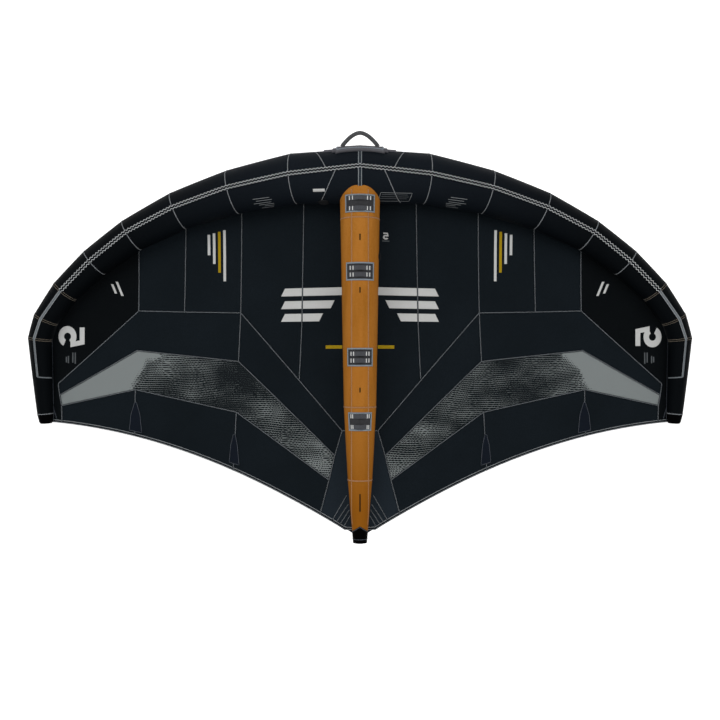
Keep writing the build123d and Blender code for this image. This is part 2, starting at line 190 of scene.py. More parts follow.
class Cloth:
    """Mesh being put together, with a stitch map: U runs along a seam and V across it."""

    def __init__(self):
        self.points = []
        self.faces = []
        self.maps = []
        self.looks = []

    def grid(self, rows, closed=False, look=0, maps=None):
        """Adds a grid of points; closed joins the last column to the first."""
        start, width = len(self.points), len(rows[0])
        self.points += [point for row in rows for point in row]
        flat = [pair for row in maps for pair in row] if maps else [(0.0, 0.0)] * (len(rows) * width)
        for i in range(len(rows) - 1):
            for j in range(width if closed else width - 1):
                k = (j + 1) % width
                corners = (i * width + j, i * width + k, (i + 1) * width + k, (i + 1) * width + j)
                self.faces.append([start + corner for corner in corners])
                self.maps.append([flat[corner] for corner in corners])
                self.looks.append(look)

    def patch(self, faces, start, look=0):
        """Adds faces without stitches, counted from the point at start."""
        for face in faces:
            self.faces.append([start + corner for corner in face])
            self.maps.append([(0.0, 0.0)] * len(face))
            self.looks.append(look)

    def fan(self, ring, centre):
        """Closes a ring of points with a fan of triangles."""
        start, count = len(self.points), len(ring)
        self.points += list(ring) + [centre]
        self.patch([(j, (j + 1) % count, count) for j in range(count)], start)

    def tape(self, line, width, height, look=0):
        """Adds a thin raised strip along a line of (point, normal) pairs."""
        rows, maps, run = [], [], 0.0
        for i, (point, normal) in enumerate(line):
            ahead = line[min(i + 1, len(line) - 1)][0] - line[max(i - 1, 0)][0]
            across = ahead.cross(normal).normalized()
            if i:
                run += (point - line[i - 1][0]).length
            rows.append([point + across * width * side + normal * height * up for side, up in TAPE_PROFILE])
            maps.append([(run, width * side) for side, _ in TAPE_PROFILE])
        self.grid(rows, look=look, maps=maps)

    def mirrored(self):
        """Adds the mirror image in the plane of symmetry."""
        start, count = len(self.points), len(self.faces)
        self.points += [mirror(point) for point in self.points]
        self.faces += [[corner + start for corner in reversed(face)] for face in self.faces[:count]]
        self.maps += [list(reversed(corners)) for corners in self.maps[:count]]
        self.looks += self.looks[:count]

    def piece(self, name, materials, slot, replaced=(), body="root"):
        """Makes the object, puts it on its body and hides the CAD nodes that it replaces."""
        mesh = bpy.data.meshes.new(name)
        mesh.from_pydata(self.points, [], self.faces)
        stitches = mesh.uv_layers.new(name="stitches")
        stitches.data.foreach_set("uv", [v for corners in self.maps for pair in corners for v in pair])
        for material in materials:
            mesh.materials.append(material)
        mesh.polygons.foreach_set("material_index", self.looks)
        mesh.polygons.foreach_set("use_smooth", [True] * len(self.faces))
        mesh.validate()
        build = bmesh.new()
        build.from_mesh(mesh)
        bmesh.ops.remove_doubles(build, verts=build.verts, dist=WELD)
        bmesh.ops.recalc_face_normals(build, faces=build.faces)
        build.to_mesh(mesh)
        build.free()
        made = bpy.data.objects.new(name, mesh)
        bpy.context.scene.collection.objects.link(made)
        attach(made, body)
        if replaced:
            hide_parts(*replaced)
        return made


WELD = 0.00002
TAPE_PROFILE = [(-0.5, -0.4), (-0.44, 1), (0.44, 1), (0.5, -0.4)]  # shares of its width and height


# Materials

def linear(hexadecimal):
    """Linear colour of a six-figure screen colour."""
    values = [int(hexadecimal[i:i + 2], 16) / 255 for i in (0, 2, 4)]
    return [v / 12.92 if v <= 0.04045 else ((v + 0.055) / 1.055) ** 2.4 for v in values] + [1.0]


class Look:
    """Node material built step by step around one Principled shader."""

    def __init__(self, name, roughness=0.7, sheen=0.0, coat=0.0, shine=0.04):
        self.material = bpy.data.materials.new(name)
        self.material.use_nodes = True
        self.tree = self.material.node_tree
        self.shader = self.tree.nodes["Principled BSDF"]
        self.shader.inputs["Roughness"].default_value = roughness
        self.shader.inputs["Sheen Weight"].default_value = sheen
        self.shader.inputs["Sheen Roughness"].default_value = 0.5
        self.shader.inputs["Coat Weight"].default_value = coat
        self.shader.inputs["Specular IOR Level"].default_value = shine
        self.place = self.add("ShaderNodeTexCoord").outputs["Object"]
        self.relief = None

    def add(self, kind, settings=(), **inputs):
        """Adds a node; inputs are numbers or the outputs of other nodes."""
        made = self.tree.nodes.new(kind)
        for key, value in dict(settings).items():
            setattr(made, key, value)
        for key, value in inputs.items():
            socket = made.inputs[int(key[1:])] if key[1:].isdigit() else made.inputs[key]
            if isinstance(value, bpy.types.NodeSocket):
                self.tree.links.new(value, socket)
            else:
                socket.default_value = value
        return made

    def maths(self, operation, *values):
        """Result of a sum on numbers and outputs."""
        named = {f"i{index}": value for index, value in enumerate(values)}
        return self.add("ShaderNodeMath", {"operation": operation}, **named).outputs[0]

    def noise(self, scale, detail=3.0, stretch=(1, 1, 1)):
        """Soft noise over the object; scale is in waves per metre."""
        mapped = self.add("ShaderNodeMapping", Vector=self.place, Scale=stretch).outputs[0]
        return self.add("ShaderNodeTexNoise", Vector=mapped, Scale=scale, Detail=detail).outputs["Fac"]

    def mix(self, share, first, second):
        """Mix of two colours."""
        made = self.add("ShaderNodeMix", {"data_type": "RGBA"}, i0=share, i6=first, i7=second)
        return made.outputs[2]

    def bump(self, height, distance, strength=1.0):
        """Adds relief of a given depth, in metres."""
        made = self.add("ShaderNodeBump", Height=height, Distance=distance, Strength=strength)
        if self.relief:
            self.tree.links.new(self.relief, made.inputs["Normal"])
        self.relief = made.outputs[0]

    def finish(self, colour, roughness=None):
        """Connects colour and relief to the shader."""
        self.tree.links.new(colour, self.shader.inputs["Base Color"])
        if roughness:
            self.tree.links.new(roughness, self.shader.inputs["Roughness"])
        if self.relief:
            self.tree.links.new(self.relief, self.shader.inputs["Normal"])
        return self.material

    def weave(self, pitch, depth):
        """Crossing threads in relief; returns their height."""
        waves = []
        for direction in ("X", "Y"):
            settings = {"wave_type": "BANDS", "bands_direction": direction}
            waves.append(self.add("ShaderNodeTexWave", settings, Vector=self.place,
                                  Scale=WAVES_PER_UNIT / pitch, Distortion=0.4, Detail=1.0).outputs["Fac"])
        height = self.maths("ADD", *waves)
        self.bump(height, depth, 0.6)
        return height

    def grid(self, pitch):
        """Thin crossing lines, as of ripstop cloth."""
        axes = self.add("ShaderNodeSeparateXYZ", Vector=self.place)
        lines = [self.maths("LESS_THAN", self.maths("PINGPONG", axes.outputs[k], pitch / 2), pitch * 0.07)
                 for k in (0, 1)]
        return self.maths("MAXIMUM", *lines)


RIPSTOP_PITCH = 0.006
WAVES_PER_UNIT = 0.314  # of a wave texture whose scale is 1, so that the pitch is in metres


def cloth_look(name, colour, worn, pitch=0.0012, roughness=0.68, ripstop=None, streaks=None,
               outboard=None, aft=None):
    """Woven cloth with faint creases, uneven dye and rubbed high spots."""
    look = Look(name, roughness=roughness)
    look.weave(pitch, 0.0002)
    creases = look.noise(9.0, 5.0)
    look.bump(creases, 0.004, 0.35)
    patches = look.maths("MULTIPLY", look.noise(3.1, 2.0), look.noise(140.0, 2.0))
    share = look.maths("MULTIPLY", patches, 1.3)
    if ripstop:
        grid = look.grid(RIPSTOP_PITCH)
        look.bump(grid, 0.0003)
        share = look.maths("ADD", share, look.maths("MULTIPLY", grid, ripstop))
    base = linear(colour)
    if streaks:
        run = look.noise(9.0, 4.0, (3.0, 0.35, 3.0))
        dark = look.add("ShaderNodeMapRange", i0=run, i1=0.42, i2=0.72).outputs[0]
        base = look.mix(dark, linear(colour), linear(streaks))
    shine = look.maths("ADD", look.maths("MULTIPLY", creases, 0.16), roughness - 0.08)
    colour = look.mix(share, base, linear(worn))
    if outboard:
        x = look.maths("ABSOLUTE", look.add("ShaderNodeSeparateXYZ", Vector=look.place).outputs[0])
        far = look.add("ShaderNodeMapRange", i0=x, i1=0.35, i2=1.15).outputs[0]
        colour = look.mix(far, colour, linear(outboard))
    if aft:
        y = look.add("ShaderNodeSeparateXYZ", Vector=look.place).outputs[1]
        far = look.add("ShaderNodeMapRange", i0=y, i1=-0.30, i2=-0.80).outputs[0]
        colour = look.mix(far, colour, linear(aft))
    return look.finish(colour, shine)


def stitched_look(name, cloth, thread, rows, swing, pitch, thickness, edge=None):
    """Seam tape with rows of zigzag stitches that follow the stitch map."""
    look = Look(name, roughness=0.75, sheen=0.1)
    split = look.add("ShaderNodeSeparateXYZ", Vector=look.add("ShaderNodeUVMap",
                     {"uv_map": "stitches"}).outputs[0])
    along, across = split.outputs[0], split.outputs[1]
    wave = look.maths("MULTIPLY", look.maths("SUBTRACT", look.maths("PINGPONG", along, pitch / 2),
                                             pitch / 4), 4 * swing / pitch)
    shown = None
    for row in rows:
        off = look.maths("ABSOLUTE", look.maths("SUBTRACT", look.maths("SUBTRACT", across, row), wave))
        on = look.maths("LESS_THAN", off, thickness / 2)
        shown = on if shown is None else look.maths("MAXIMUM", shown, on)
    look.weave(0.0012, 0.0002)
    look.bump(shown, 0.0006)
    base = look.mix(look.noise(60.0), linear(cloth), linear(edge or cloth))
    return look.finish(look.mix(shown, base, linear(thread)))


def moulded_look(name, colour, roughness, grain=0.00008, coat=0.0, shine=0.05):
    """Moulded plastic or rubber with a fine grain and scuffs."""
    look = Look(name, roughness=roughness, coat=coat, shine=shine)
    look.bump(look.noise(1800.0, 2.0), grain)
    scuffs = look.noise(45.0, 6.0)
    rough = look.maths("ADD", look.maths("MULTIPLY", scuffs, 0.25), roughness - 0.12)
    share = look.maths("MULTIPLY", look.maths("POWER", scuffs, 3.0), 0.6)
    pale = [min(1.0, value * 2.2 + 0.0012) for value in linear(colour)[:3]] + [1.0]
    return look.finish(look.mix(share, linear(colour), pale), rough)


def webbing_look(name, colour, worn):
    """Webbing with ribs along the strap."""
    look = Look(name, roughness=0.8, sheen=0.25)
    settings = {"wave_type": "BANDS", "bands_direction": "Y"}
    ribs = look.add("ShaderNodeTexWave", settings, Vector=look.place, Scale=WAVES_PER_UNIT / 0.0022,
                    Distortion=0.3, Detail=1.0).outputs["Fac"]
    picks = look.add("ShaderNodeTexWave", {"wave_type": "BANDS", "bands_direction": "X"}, Vector=look.place,
                     Scale=WAVES_PER_UNIT / 0.0016, Distortion=0.5).outputs["Fac"]
    height = look.maths("MULTIPLY", ribs, look.maths("ADD", picks, 0.4))
    look.bump(height, 0.0004)
    return look.finish(look.mix(look.maths("MULTIPLY", height, 0.8), linear(colour), linear(worn)))


def window_look(plain, dark):
    """Film that is plain at the tip and carries fine wavering lines further in."""
    look = Look("Window_film", roughness=0.55, sheen=0.05)
    axes = look.add("ShaderNodeSeparateXYZ", Vector=look.place)
    x, y = look.maths("ABSOLUTE", axes.outputs[0]), axes.outputs[1]
    sway = look.maths("MULTIPLY", look.noise(3.4, 1.0), 0.060)
    rows = look.maths("DIVIDE", look.maths("ADD", y, sway), LINE_PITCH)
    saw = look.maths("PINGPONG", look.maths("MULTIPLY", rows, 2.0), 1.0)
    jog = look.maths("MULTIPLY", look.maths("FLOOR", rows), DASH_PITCH / 2)
    drift = look.maths("MULTIPLY", look.noise(11.0, 2.0), 0.11)
    run = look.maths("ADD", look.maths("ADD", x, jog), drift)
    dashes = look.maths("PINGPONG", look.maths("MULTIPLY", run, 2 / DASH_PITCH), 1.0)
    cover = look.add("ShaderNodeMapRange", i0=look.noise(5.0, 3.0, (1.0, 1.7, 1.0)),
                     i1=0.34, i2=0.70, i3=0.14, i4=0.72).outputs[0]
    edge = look.maths("ADD", x, look.maths("MULTIPLY", y, 0.77))
    edge = look.maths("ADD", edge, look.maths("MULTIPLY", look.noise(7.0, 2.0), 0.12))
    ends = look.add("ShaderNodeMapRange", {"interpolation_type": "SMOOTHSTEP"}, i0=edge,
                    i1=PLAIN_FROM, i2=PLAIN_FROM + 0.08, i3=0.0, i4=1.9).outputs[0]
    inner = look.add("ShaderNodeMapRange", i0=x, i1=0.55, i2=0.16, i3=0.0, i4=0.42).outputs[0]
    outer = look.add("ShaderNodeMapRange", i0=x, i1=0.80, i2=1.08, i3=0.0, i4=0.30).outputs[0]
    limit = look.maths("ADD", look.maths("ADD", cover, ends), look.maths("ADD", inner, outer))
    level = look.maths("ADD", saw, look.maths("MULTIPLY", dashes, 0.75))
    shown = look.maths("LESS_THAN", level, limit)
    grain = look.noise(900.0, 2.0)
    look.weave(0.004, 0.00015)
    look.bump(look.noise(8.0, 4.0), 0.004, 0.35)
    light = look.mix(grain, linear(plain), [value * 0.86 for value in linear(plain)[:3]] + [1.0])
    return look.finish(look.mix(shown, linear(dark), light))


LINE_PITCH = 0.0094
DASH_PITCH = 0.0145
PLAIN_FROM = 0.975


def film_look():
    """Thin milky film of the air bladders."""
    look = Look("Bladder_film", roughness=0.35)
    creases = look.noise(12.0, 5.0)
    look.bump(creases, 0.006, 0.5)
    return look.finish(look.mix(creases, linear("C9D0D4"), linear("E2E7EA")))


def finishes():
    """Every finish of the object, by name."""
    settings = bpy.context.scene.wing_colours
    canopy, sleeve, strut = (colour_code(value) for value in
                             (settings.canopy, settings.sleeve, settings.strut))
    return {
        "canopy": cloth_look("Canopy_cloth", canopy, "1A2127", 0.0010, ripstop=0.25),
        "rear": cloth_look("Canopy_rear_cloth", "1C2329", "252D35", 0.0010, ripstop=0.25),
        "tip": cloth_look("Canopy_tip_cloth", "06090B", "0C1013", 0.0010, ripstop=0.25),
        "dart": cloth_look("Dart_cloth", "11161E", "171D28", 0.0010),
        "sleeve": cloth_look("Sleeve_cloth", sleeve, "171D23", 0.0016, 0.62, outboard="04070A"),
        "strut": cloth_look("Strut_cloth", strut, "B67C36", 0.0016, 0.6, streaks="90560F",
                            aft="8E5510"),
        "window": window_look("838989", "12181B"),
        "seam": stitched_look("Canopy_seam", "12171B", "959BA0", [0.0], 0.0018, 0.0075, 0.0016),
        "hem": stitched_look("Hem", "14191D", "B0B5B8", [-0.0052, 0.0052], 0.0012, 0.006, 0.0018),
        "fine": stitched_look("Fine_seam", "12171C", "666D78", [0.0], 0.0008, 0.005, 0.0012),
        "ring": stitched_look("Ring_seam", "0E1216", "A0A5A9", [0.0], 0.0014, 0.0060, 0.0022),
        "tip_ring": stitched_look("Tip_ring_seam", "0B0E11", "83796A", [0.0], 0.0006, 0.004, 0.0014),
        "centre": stitched_look("Centre_seam", "2B3238", "A9AFB2", [-0.0070, 0.0070], 0.0006, 0.004, 0.0018),
        "long_seam": stitched_look("Long_seam", "0E1216", "D6DADB", [-0.0070, 0.0070], 0.0036, 0.018,
                                   0.0026),
        "tip_band": stitched_look("Tip_band", "62686C", "A7ABAE", [-0.0052, 0.0052], 0.0006, 0.004,
                                  0.0018, "747A7E"),
        "strut_seam": stitched_look("Strut_seam", "A06A35", "BD9474", [-0.0014, 0.0014], 0.0008, 0.004,
                                    0.0012),
        "border": stitched_look("Pad_border", "76808A", "A9B0B6", [0.0], 0.0008, 0.004, 0.0012, "87919A"),
        "pad": cloth_look("Pad_cloth", "343436", "434345", 0.0022, 0.8),
        "base": cloth_look("Base_cloth", "5A5A5E", "6B6B70", 0.0022, 0.75),
        "base_edge": cloth_look("Base_edge_cloth", "58575C", "6A696F", 0.0022, 0.75),
        "webbing": webbing_look("Webbing", "3B3C40", "5E6065"),
        "tack": webbing_look("Bar_tack", "CFCFCC", "EFEFEC"),
        "print": cloth_look("Print_ink", "CFD0CE", "C2C3C2", 0.0010, 0.6, ripstop=0.4),
        "streak": cloth_look("Streak_ink", "85898B", "6E7274", 0.0010, 0.6),
        "faint": cloth_look("Faint_ink", "5A5E61", "4C5053", 0.0010, 0.6),
        "black": cloth_look("Black_ink", "1D160C", "2B2012", 0.0010, 0.6),
        "yellow": cloth_look("Yellow_ink", "B0921A", "A08418", 0.0010, 0.6, ripstop=0.4),
        "cap": moulded_look("Cap_plastic", "020203", 0.6, shine=0.012),
        "valve": moulded_look("Valve_plastic", "1D1E20", 0.45),
        "grip": moulded_look("Grip_rubber", "4A4B4D", 0.7, 0.0002),
        "film": film_look(),
    }


def colour_code(value):
    """Six-figure screen colour of a property's value."""
    return "".join(f"{round(255 * channel):02X}" for channel in value)


LOOKS = {}


# Leading edge and strut

AROUND = 96
ROWS = 22
BULGE = 0.0016
STRUT_BULGE = BULGE / 5
PUCKER = 0.0007
PUCKER_REACH = 0.030
PIPE_ANGLES = [2 * math.pi * k / AROUND for k in range(AROUND)]


def inflated(rings, index, share, angle):
    """How far a sewn tube panel stands off between its seams, with puckers where it is gathered."""
    swell = BULGE if rings is LEADING else STRUT_BULGE
    length = (rings[index + 1].centre - rings[index].centre).length
    edge = min(share, 1 - share) * length
    pull = math.exp(-edge / PUCKER_REACH)
    ripple = noise.noise(Vector((angle * 7.0, index * 5.3, edge * 9.0)))
    return swell * math.sin(math.pi * share) ** 0.6 + PUCKER * pull * ripple


def sleeve(rings, index, cloth, first=0.0, last=1.0):
    """Adds one tube panel to a mesh."""
    rows = []
    for i in range(ROWS + 1):
        share = first + (last - first) * i / ROWS
        rows.append([between(rings, index + share, angle, inflated(rings, index, share, angle))
                     for angle in PIPE_ANGLES])
    cloth.grid(rows, closed=True)


def ring_line(rings, place, lift, first=0.0, last=2 * math.pi, count=AROUND):
    """Line round a tube at one place, with its normals."""
    return [tube_spot(rings, place, first + (last - first) * k / count, lift) for k in range(count + 1)]


def tube_line(rings, places, lift):
    """Line over a tube through chosen (place, angle in degrees) points, with its normals."""
    line = []
    for (place, angle), (next_place, next_angle) in zip(places, places[1:]):
        steps = max(4, round(abs(next_place - place) * 16), round(abs(next_angle - angle) / 5))
        for k in range(steps + (next_place == places[-1][0] and next_angle == places[-1][1])):
            at = place + (next_place - place) * k / steps
            turn = math.radians(angle + (next_angle - angle) * k / steps)
            bulge = inflated(rings, min(int(at), len(rings) - 2), at % 1.0, turn)
            line.append(tube_spot(rings, at, turn, lift + bulge))
    return line


def end_cap(first, last_ring, cut=None):
    """Adds a moulded cap with a rounded end from a ring to the end of the tube."""
    cloth = Cloth()
    length = (last_ring.centre - first.centre).length
    rows = []
    for i in range(CAP_ROWS + 1):
        share = (1 - CAP_ROUNDING / length) * i / CAP_ROWS
        rows.append([(cut(angle) if cut else first.point(angle, CAP_STEP))
                     .lerp(last_ring.point(angle, CAP_STEP), share) for angle in PIPE_ANGLES])
    back = last_ring.along * -1
    for i in range(1, ROUNDING_ROWS + 1):
        turn = math.pi / 2 * i / ROUNDING_ROWS
        inward = CAP_ROUNDING * (1 - math.cos(turn))
        sunk = CAP_ROUNDING * (1 - math.sin(turn))
        rows.append([last_ring.point(angle, CAP_STEP - inward) + back * sunk for angle in PIPE_ANGLES])
    cloth.grid(rows, closed=True)
    cloth.fan(rows[-1], last_ring.centre + last_ring.along * 0.001)
    return cloth


CAP_STEP = 0.0008
CAP_ROUNDING = 0.009
CAP_ROWS = 10
ROUNDING_ROWS = 8
TAPE_LIFT = 0.0003
RING_WIDTH = 0.008
TIP_RING_STEP = 0.0045
TAPE_HEIGHT = 0.0007
PRINT_HEIGHT = 0.0003
# Lines over the leading edge, as (seam number from the centre, angle from the top in degrees) points
LONG_SEAM = [(0.0, -12), (1.0, -2), (2.0, -4), (3.0, -4), (4.0, -6), (5.0, -2), (6.0, 0)]
TIP_BANDS = [([(6.0, 0), (7.0, -4), (8.0, -10)], 0.014), ([(8.0, -10), (8.5, -10)], 0.010),
             ([(8.5, -10), (8.51, 80)], 0.006)]
NOSE_OUTLINES = [[(1.0, -61), (0.625, -63), (0.475, -12)], [(0.325, -8), (0.475, 36), (0.625, 80)]]
STREAKS = [(1.64, 1.37, 40), (1.60, 1.34, 47), (1.65, 1.36, 54), (1.58, 1.33, 61), (1.50, 1.34, 68),
           (1.56, 1.36, 76)]
LABEL_ROWS = [(0.32, 0.70, 50), (0.31, 0.72, 56), (0.29, 0.70, 62)]
STREAK_WIDTH = 0.003
TAG_ENDS = [(0.505, 38), (0.675, 38)]
TAG_WIDTH = 0.015
LABEL_EDGE = [(0.30, 45), (0.76, 45), (0.74, 72), (0.27, 72), (0.30, 45)]


def tip_cap_ring():
    """Ring at the end of the right tip cap."""
    seam = LEADING[-1]
    faces = [face for face in NODES["tip_caps"].data.polygons
             if face.center.x > 0 and face.normal.dot(seam.along) > 0.9]
    along = sum((face.normal * face.area for face in faces), Vector((0, 0, 0))).normalized()
    points = corners_of("tip_caps", 1)
    reach = max(point.dot(along) for point in points)
    last = [point for point in points if point.dot(along) > reach - 0.0005]
    end = Ring(sum(last, Vector((0, 0, 0))) / len(last), 0.0, along)
    shoulder = [point for point in points if reach - SHOULDER_REACH < point.dot(along) < reach - 0.003]
    end.radius = max((point - end.centre).cross(end.along).length for point in shoulder)
    return end


class WING_OT_leading_edge(bpy.types.Operator):
    """Sewn sleeve of the leading edge, its seams and its tip caps"""
    bl_idname = "wing.leading_edge"
    bl_label = "Leading edge"

    def execute(self, context):
        for index in range(PANEL_COUNT):
            cloth = Cloth()
            sleeve(LEADING, index, cloth)
            cloth.mirrored()
            cloth.piece(f"Sleeve_panel_{index + 1}", [LOOKS["sleeve"]], "sleeve_cloth",
                        [f"le_panel_{index + 1}"])
        caps = end_cap(LEADING[-1], tip_cap_ring())
        caps.mirrored()
        caps.piece("Tip_caps", [LOOKS["cap"]], "cap_plastic", ["tip_caps"])
        seams = Cloth()
        looks = [LOOKS[name] for name in ("ring", "tip_ring", "long_seam", "tip_band", "centre")]
        for index in range(1, PANEL_COUNT + 1):
            if index in (6, 7, 8):
                for side, first in ((-1, index - 1), (1, index)):
                    length = (LEADING[first + 1].centre - LEADING[first].centre).length
                    line = ring_line(LEADING, index + side * TIP_RING_STEP / length, 0.0008)
                    seams.tape(line, 0.004, TAPE_HEIGHT, 1)
            else:
                seams.tape(ring_line(LEADING, float(index), 0.0002), RING_WIDTH, TAPE_HEIGHT, 0)
        seams.tape(tube_line(LEADING, LONG_SEAM, 0.0013), 0.025, TAPE_HEIGHT, 2)
        for band, width in TIP_BANDS:
            seams.tape(tube_line(LEADING, band, 0.0008), width, TAPE_HEIGHT, 3)
        for outline in NOSE_OUTLINES:
            seams.tape(tube_line(LEADING, outline, 0.0003), RING_WIDTH, TAPE_HEIGHT, 0)
        seams.mirrored()
        seams.tape(ring_line(LEADING, 0.0, 0.0003), 0.022, TAPE_HEIGHT, 4)
        seams.piece("Leading_edge_seams", looks, "sleeve_cloth")
        labels = Cloth()
        for first, last, angle in STREAKS:
            line = tube_line(LEADING, [(first, angle), (last, angle + 3)], TAPE_LIFT)
            labels.tape(line, STREAK_WIDTH, PRINT_HEIGHT)
        labels.mirrored()
        for first, last, angle in LABEL_ROWS:
            line = tube_line(LEADING, [(first, angle), (last, angle)], TAPE_LIFT)
            labels.tape(line, STREAK_WIDTH, PRINT_HEIGHT, 1)
        labels.tape(tube_line(LEADING, LABEL_EDGE, 0.0004), 0.0025, PRINT_HEIGHT)
        tag = tube_line(LEADING, TAG_ENDS, 0.0004)
        labels.tape([(mirror(spot), mirror(normal)) for spot, normal in tag], TAG_WIDTH, 0.0006, 2)
        looks = [LOOKS["streak"], LOOKS["faint"], LOOKS["print"]]
        labels.piece("Leading_edge_prints", looks, "sleeve_cloth")
        return {"FINISHED"}


def tail_cut():
    """Point of the tail cap's peaked edge at an angle round the strut."""
    points = [point for point in corners_of("strut_tail") if abs(point.x) < 0.001]
    points = sorted(points, key=lambda point: point.y)[:4]
    top = max(points, key=lambda point: point.z)
    low = min(points, key=lambda point: point.z)

    def edge(angle, lift=CAP_STEP):
        turn = abs(math.remainder(angle, 2 * math.pi))
        drop = math.sin(turn) if turn < math.pi / 2 else 1 - math.cos(turn)
        wanted = top.y + (low.y - top.y) * drop / 2
        aim = wanted
        for _ in range(4):
            aim += wanted - between(STRUT, strut_place(aim), angle, lift).y
        return between(STRUT, strut_place(aim), angle, lift)

    return edge


STRUT_LINE_X = 0.038
MARK_WIDTH = 0.006
STRUT_MARKS = [(0.448, 0.030), (0.205, 0.026), (-0.250, 0.022), (-0.760, 0.080)]


class WING_OT_strut(bpy.types.Operator):
    """Sewn sleeve of the strut, its seams and its tail cap"""
    bl_idname = "wing.strut"
    bl_label = "Strut"

    def execute(self, context):
        edge = tail_cut()
        for index, node in enumerate(STRUT_NODES):
            cloth = Cloth()
            if node == "strut_tail":
                rows = []
                for i in range(ROWS + 1):
                    share = i / ROWS
                    rows.append([STRUT[index].point(angle).lerp(edge(angle, 0.0), share)
                                 for angle in PIPE_ANGLES])
                cloth.grid(rows, closed=True)
            else:
                sleeve(STRUT, index, cloth)
            cloth.piece(f"Strut_panel_{index + 1}", [LOOKS["strut"]], "strut_cloth", [node])
        cap = end_cap(STRUT[-2], STRUT[-1], cut=edge)
        cap.piece("Tail_cap", [LOOKS["cap"]], "cap_plastic", ["tail_cap"])
        seams = Cloth()
        for index in range(1, 4):
            seams.tape(ring_line(STRUT, float(index), 0.0004), RING_WIDTH, TAPE_HEIGHT)
        for side in (1, -1):
            line = []
            for k in range(120):
                place = 0.35 + 3.35 * k / 119
                index = min(int(place), len(STRUT) - 2)
                ring = STRUT[index]
                radius = ring.radius + (STRUT[index + 1].radius - ring.radius) * (place - index)
                angle = side * math.asin(min(0.9, STRUT_LINE_X / radius))
                lift = inflated(STRUT, index, place - index, angle) if index < 3 else 0.0
                line.append(tube_spot(STRUT, place, angle, lift + TAPE_LIFT))
            seams.tape(line, RING_WIDTH * 0.8, TAPE_HEIGHT)
        seams.piece("Strut_seams", [LOOKS["strut_seam"]], "strut_cloth")
        marks = Cloth()
        for y, length in STRUT_MARKS:
            line = [tube_spot(STRUT, strut_place(y + length * (0.5 - k / 8)), 0.0, 0.0006) for k in range(9)]
            marks.tape(line, MARK_WIDTH, PRINT_HEIGHT)
        marks.piece("Strut_marks", [LOOKS["black"]], "strut_cloth")
        edging = Cloth()
        ends = [(edge(angle, 0.0012), (edge(angle, 0.01) - edge(angle, 0.0)).normalized())
                for angle in PIPE_ANGLES + [0.0]]
        edging.tape(ends, 0.006, TAPE_HEIGHT)
        edging.tape(ring_line([STRUT[-2], STRUT[-1]], 0.93, CAP_STEP + 0.0002), 0.004, TAPE_HEIGHT)
        edging.piece("Tail_cap_edging", [LOOKS["fine"]], "webbing")
        return {"FINISHED"}


# Canopy

CLOTH_STEP = 0.014
OUTLINE_STEP = 0.008
CLOTH_THICKNESS = 0.0008
BILLOW = 0.0035
BILLOW_REACH = 0.070
DRAPE = 0.0024
SEAM_REACH = 0.022
SEAM_PUCKER = 0.0011
TUBE_REACH = 0.004
SEAM_MATCH = 0.003
SHARP_TURN = 0.94  # cosine of the angle at which a taped line is broken
OUTLINES = {}
SURFACE = {}


def top_outlines(node):
    """Outline of each upper face of a cloth panel, as a loop of points."""
    build = bmesh.new()
    build.from_mesh(NODES[node].data)
    bmesh.ops.remove_doubles(build, verts=build.verts, dist=NEAR / 4)
    build.normal_update()
    upper = [face for face in build.faces if face.normal.z > 0.5]
    known = set(upper)
    onward = {}
    for face in upper:
        for loop in face.loops:
            others = [other for other in loop.edge.link_faces if other is not face and other in known]
            if not others:
                onward[loop.vert.index] = loop.link_loop_next.vert.index
    build.verts.ensure_lookup_table()
    places = {vertex.index: vertex.co.copy() for vertex in build.verts}
    build.free()
    loops = []
    while onward:
        start = next(iter(onward))
        chain, at = [], start
        while at in onward:
            chain.append(places[at])
            at = onward.pop(at)
        loops.append(chain)
    return [chain for chain in loops if len(chain) > 8]


def finer(chain, step):
    """The loop again, with points added so that none are further apart than the step."""
    points = []
    for here, there in zip(chain, chain[1:] + chain[:1]):
        pieces = max(1, math.ceil((there - here).length / step))
        points += [here.lerp(there, k / pieces) for k in range(pieces)]
    return points


def inside(point, outline):
    """Whether a point lies inside an outline in plan."""
    held = False
    for a, b in zip(outline, outline[1:] + outline[:1]):
        if (a.y > point.y) != (b.y > point.y):
            if point.x < (b.x - a.x) * (point.y - a.y) / (b.y - a.y) + a.x:
                held = not held
    return held


def wrinkle(x, y, edge):
    """Height that billows and puckers add at a place, edge being its distance from the nearest seam."""
    x = abs(x)
    out = 1 - math.exp(-edge / BILLOW_REACH)
    wide = noise.noise(Vector((x * 4.0, y * 6.5, 2.0)))
    fine = noise.noise(Vector((x * 55.0, y * 55.0, 7.0)))
    gather = math.exp(-edge / SEAM_REACH) * (1 - math.exp(-edge / 0.004))
    return -BILLOW * out + DRAPE * wide * out + SEAM_PUCKER * fine * gather


def edge_tree(outline):
    """Search tree over an outline in plan."""
    tree = kdtree.KDTree(len(outline))
    for index, point in enumerate(outline):
        tree.insert((point.x, point.y, 0), index)
    tree.balance()
    return tree


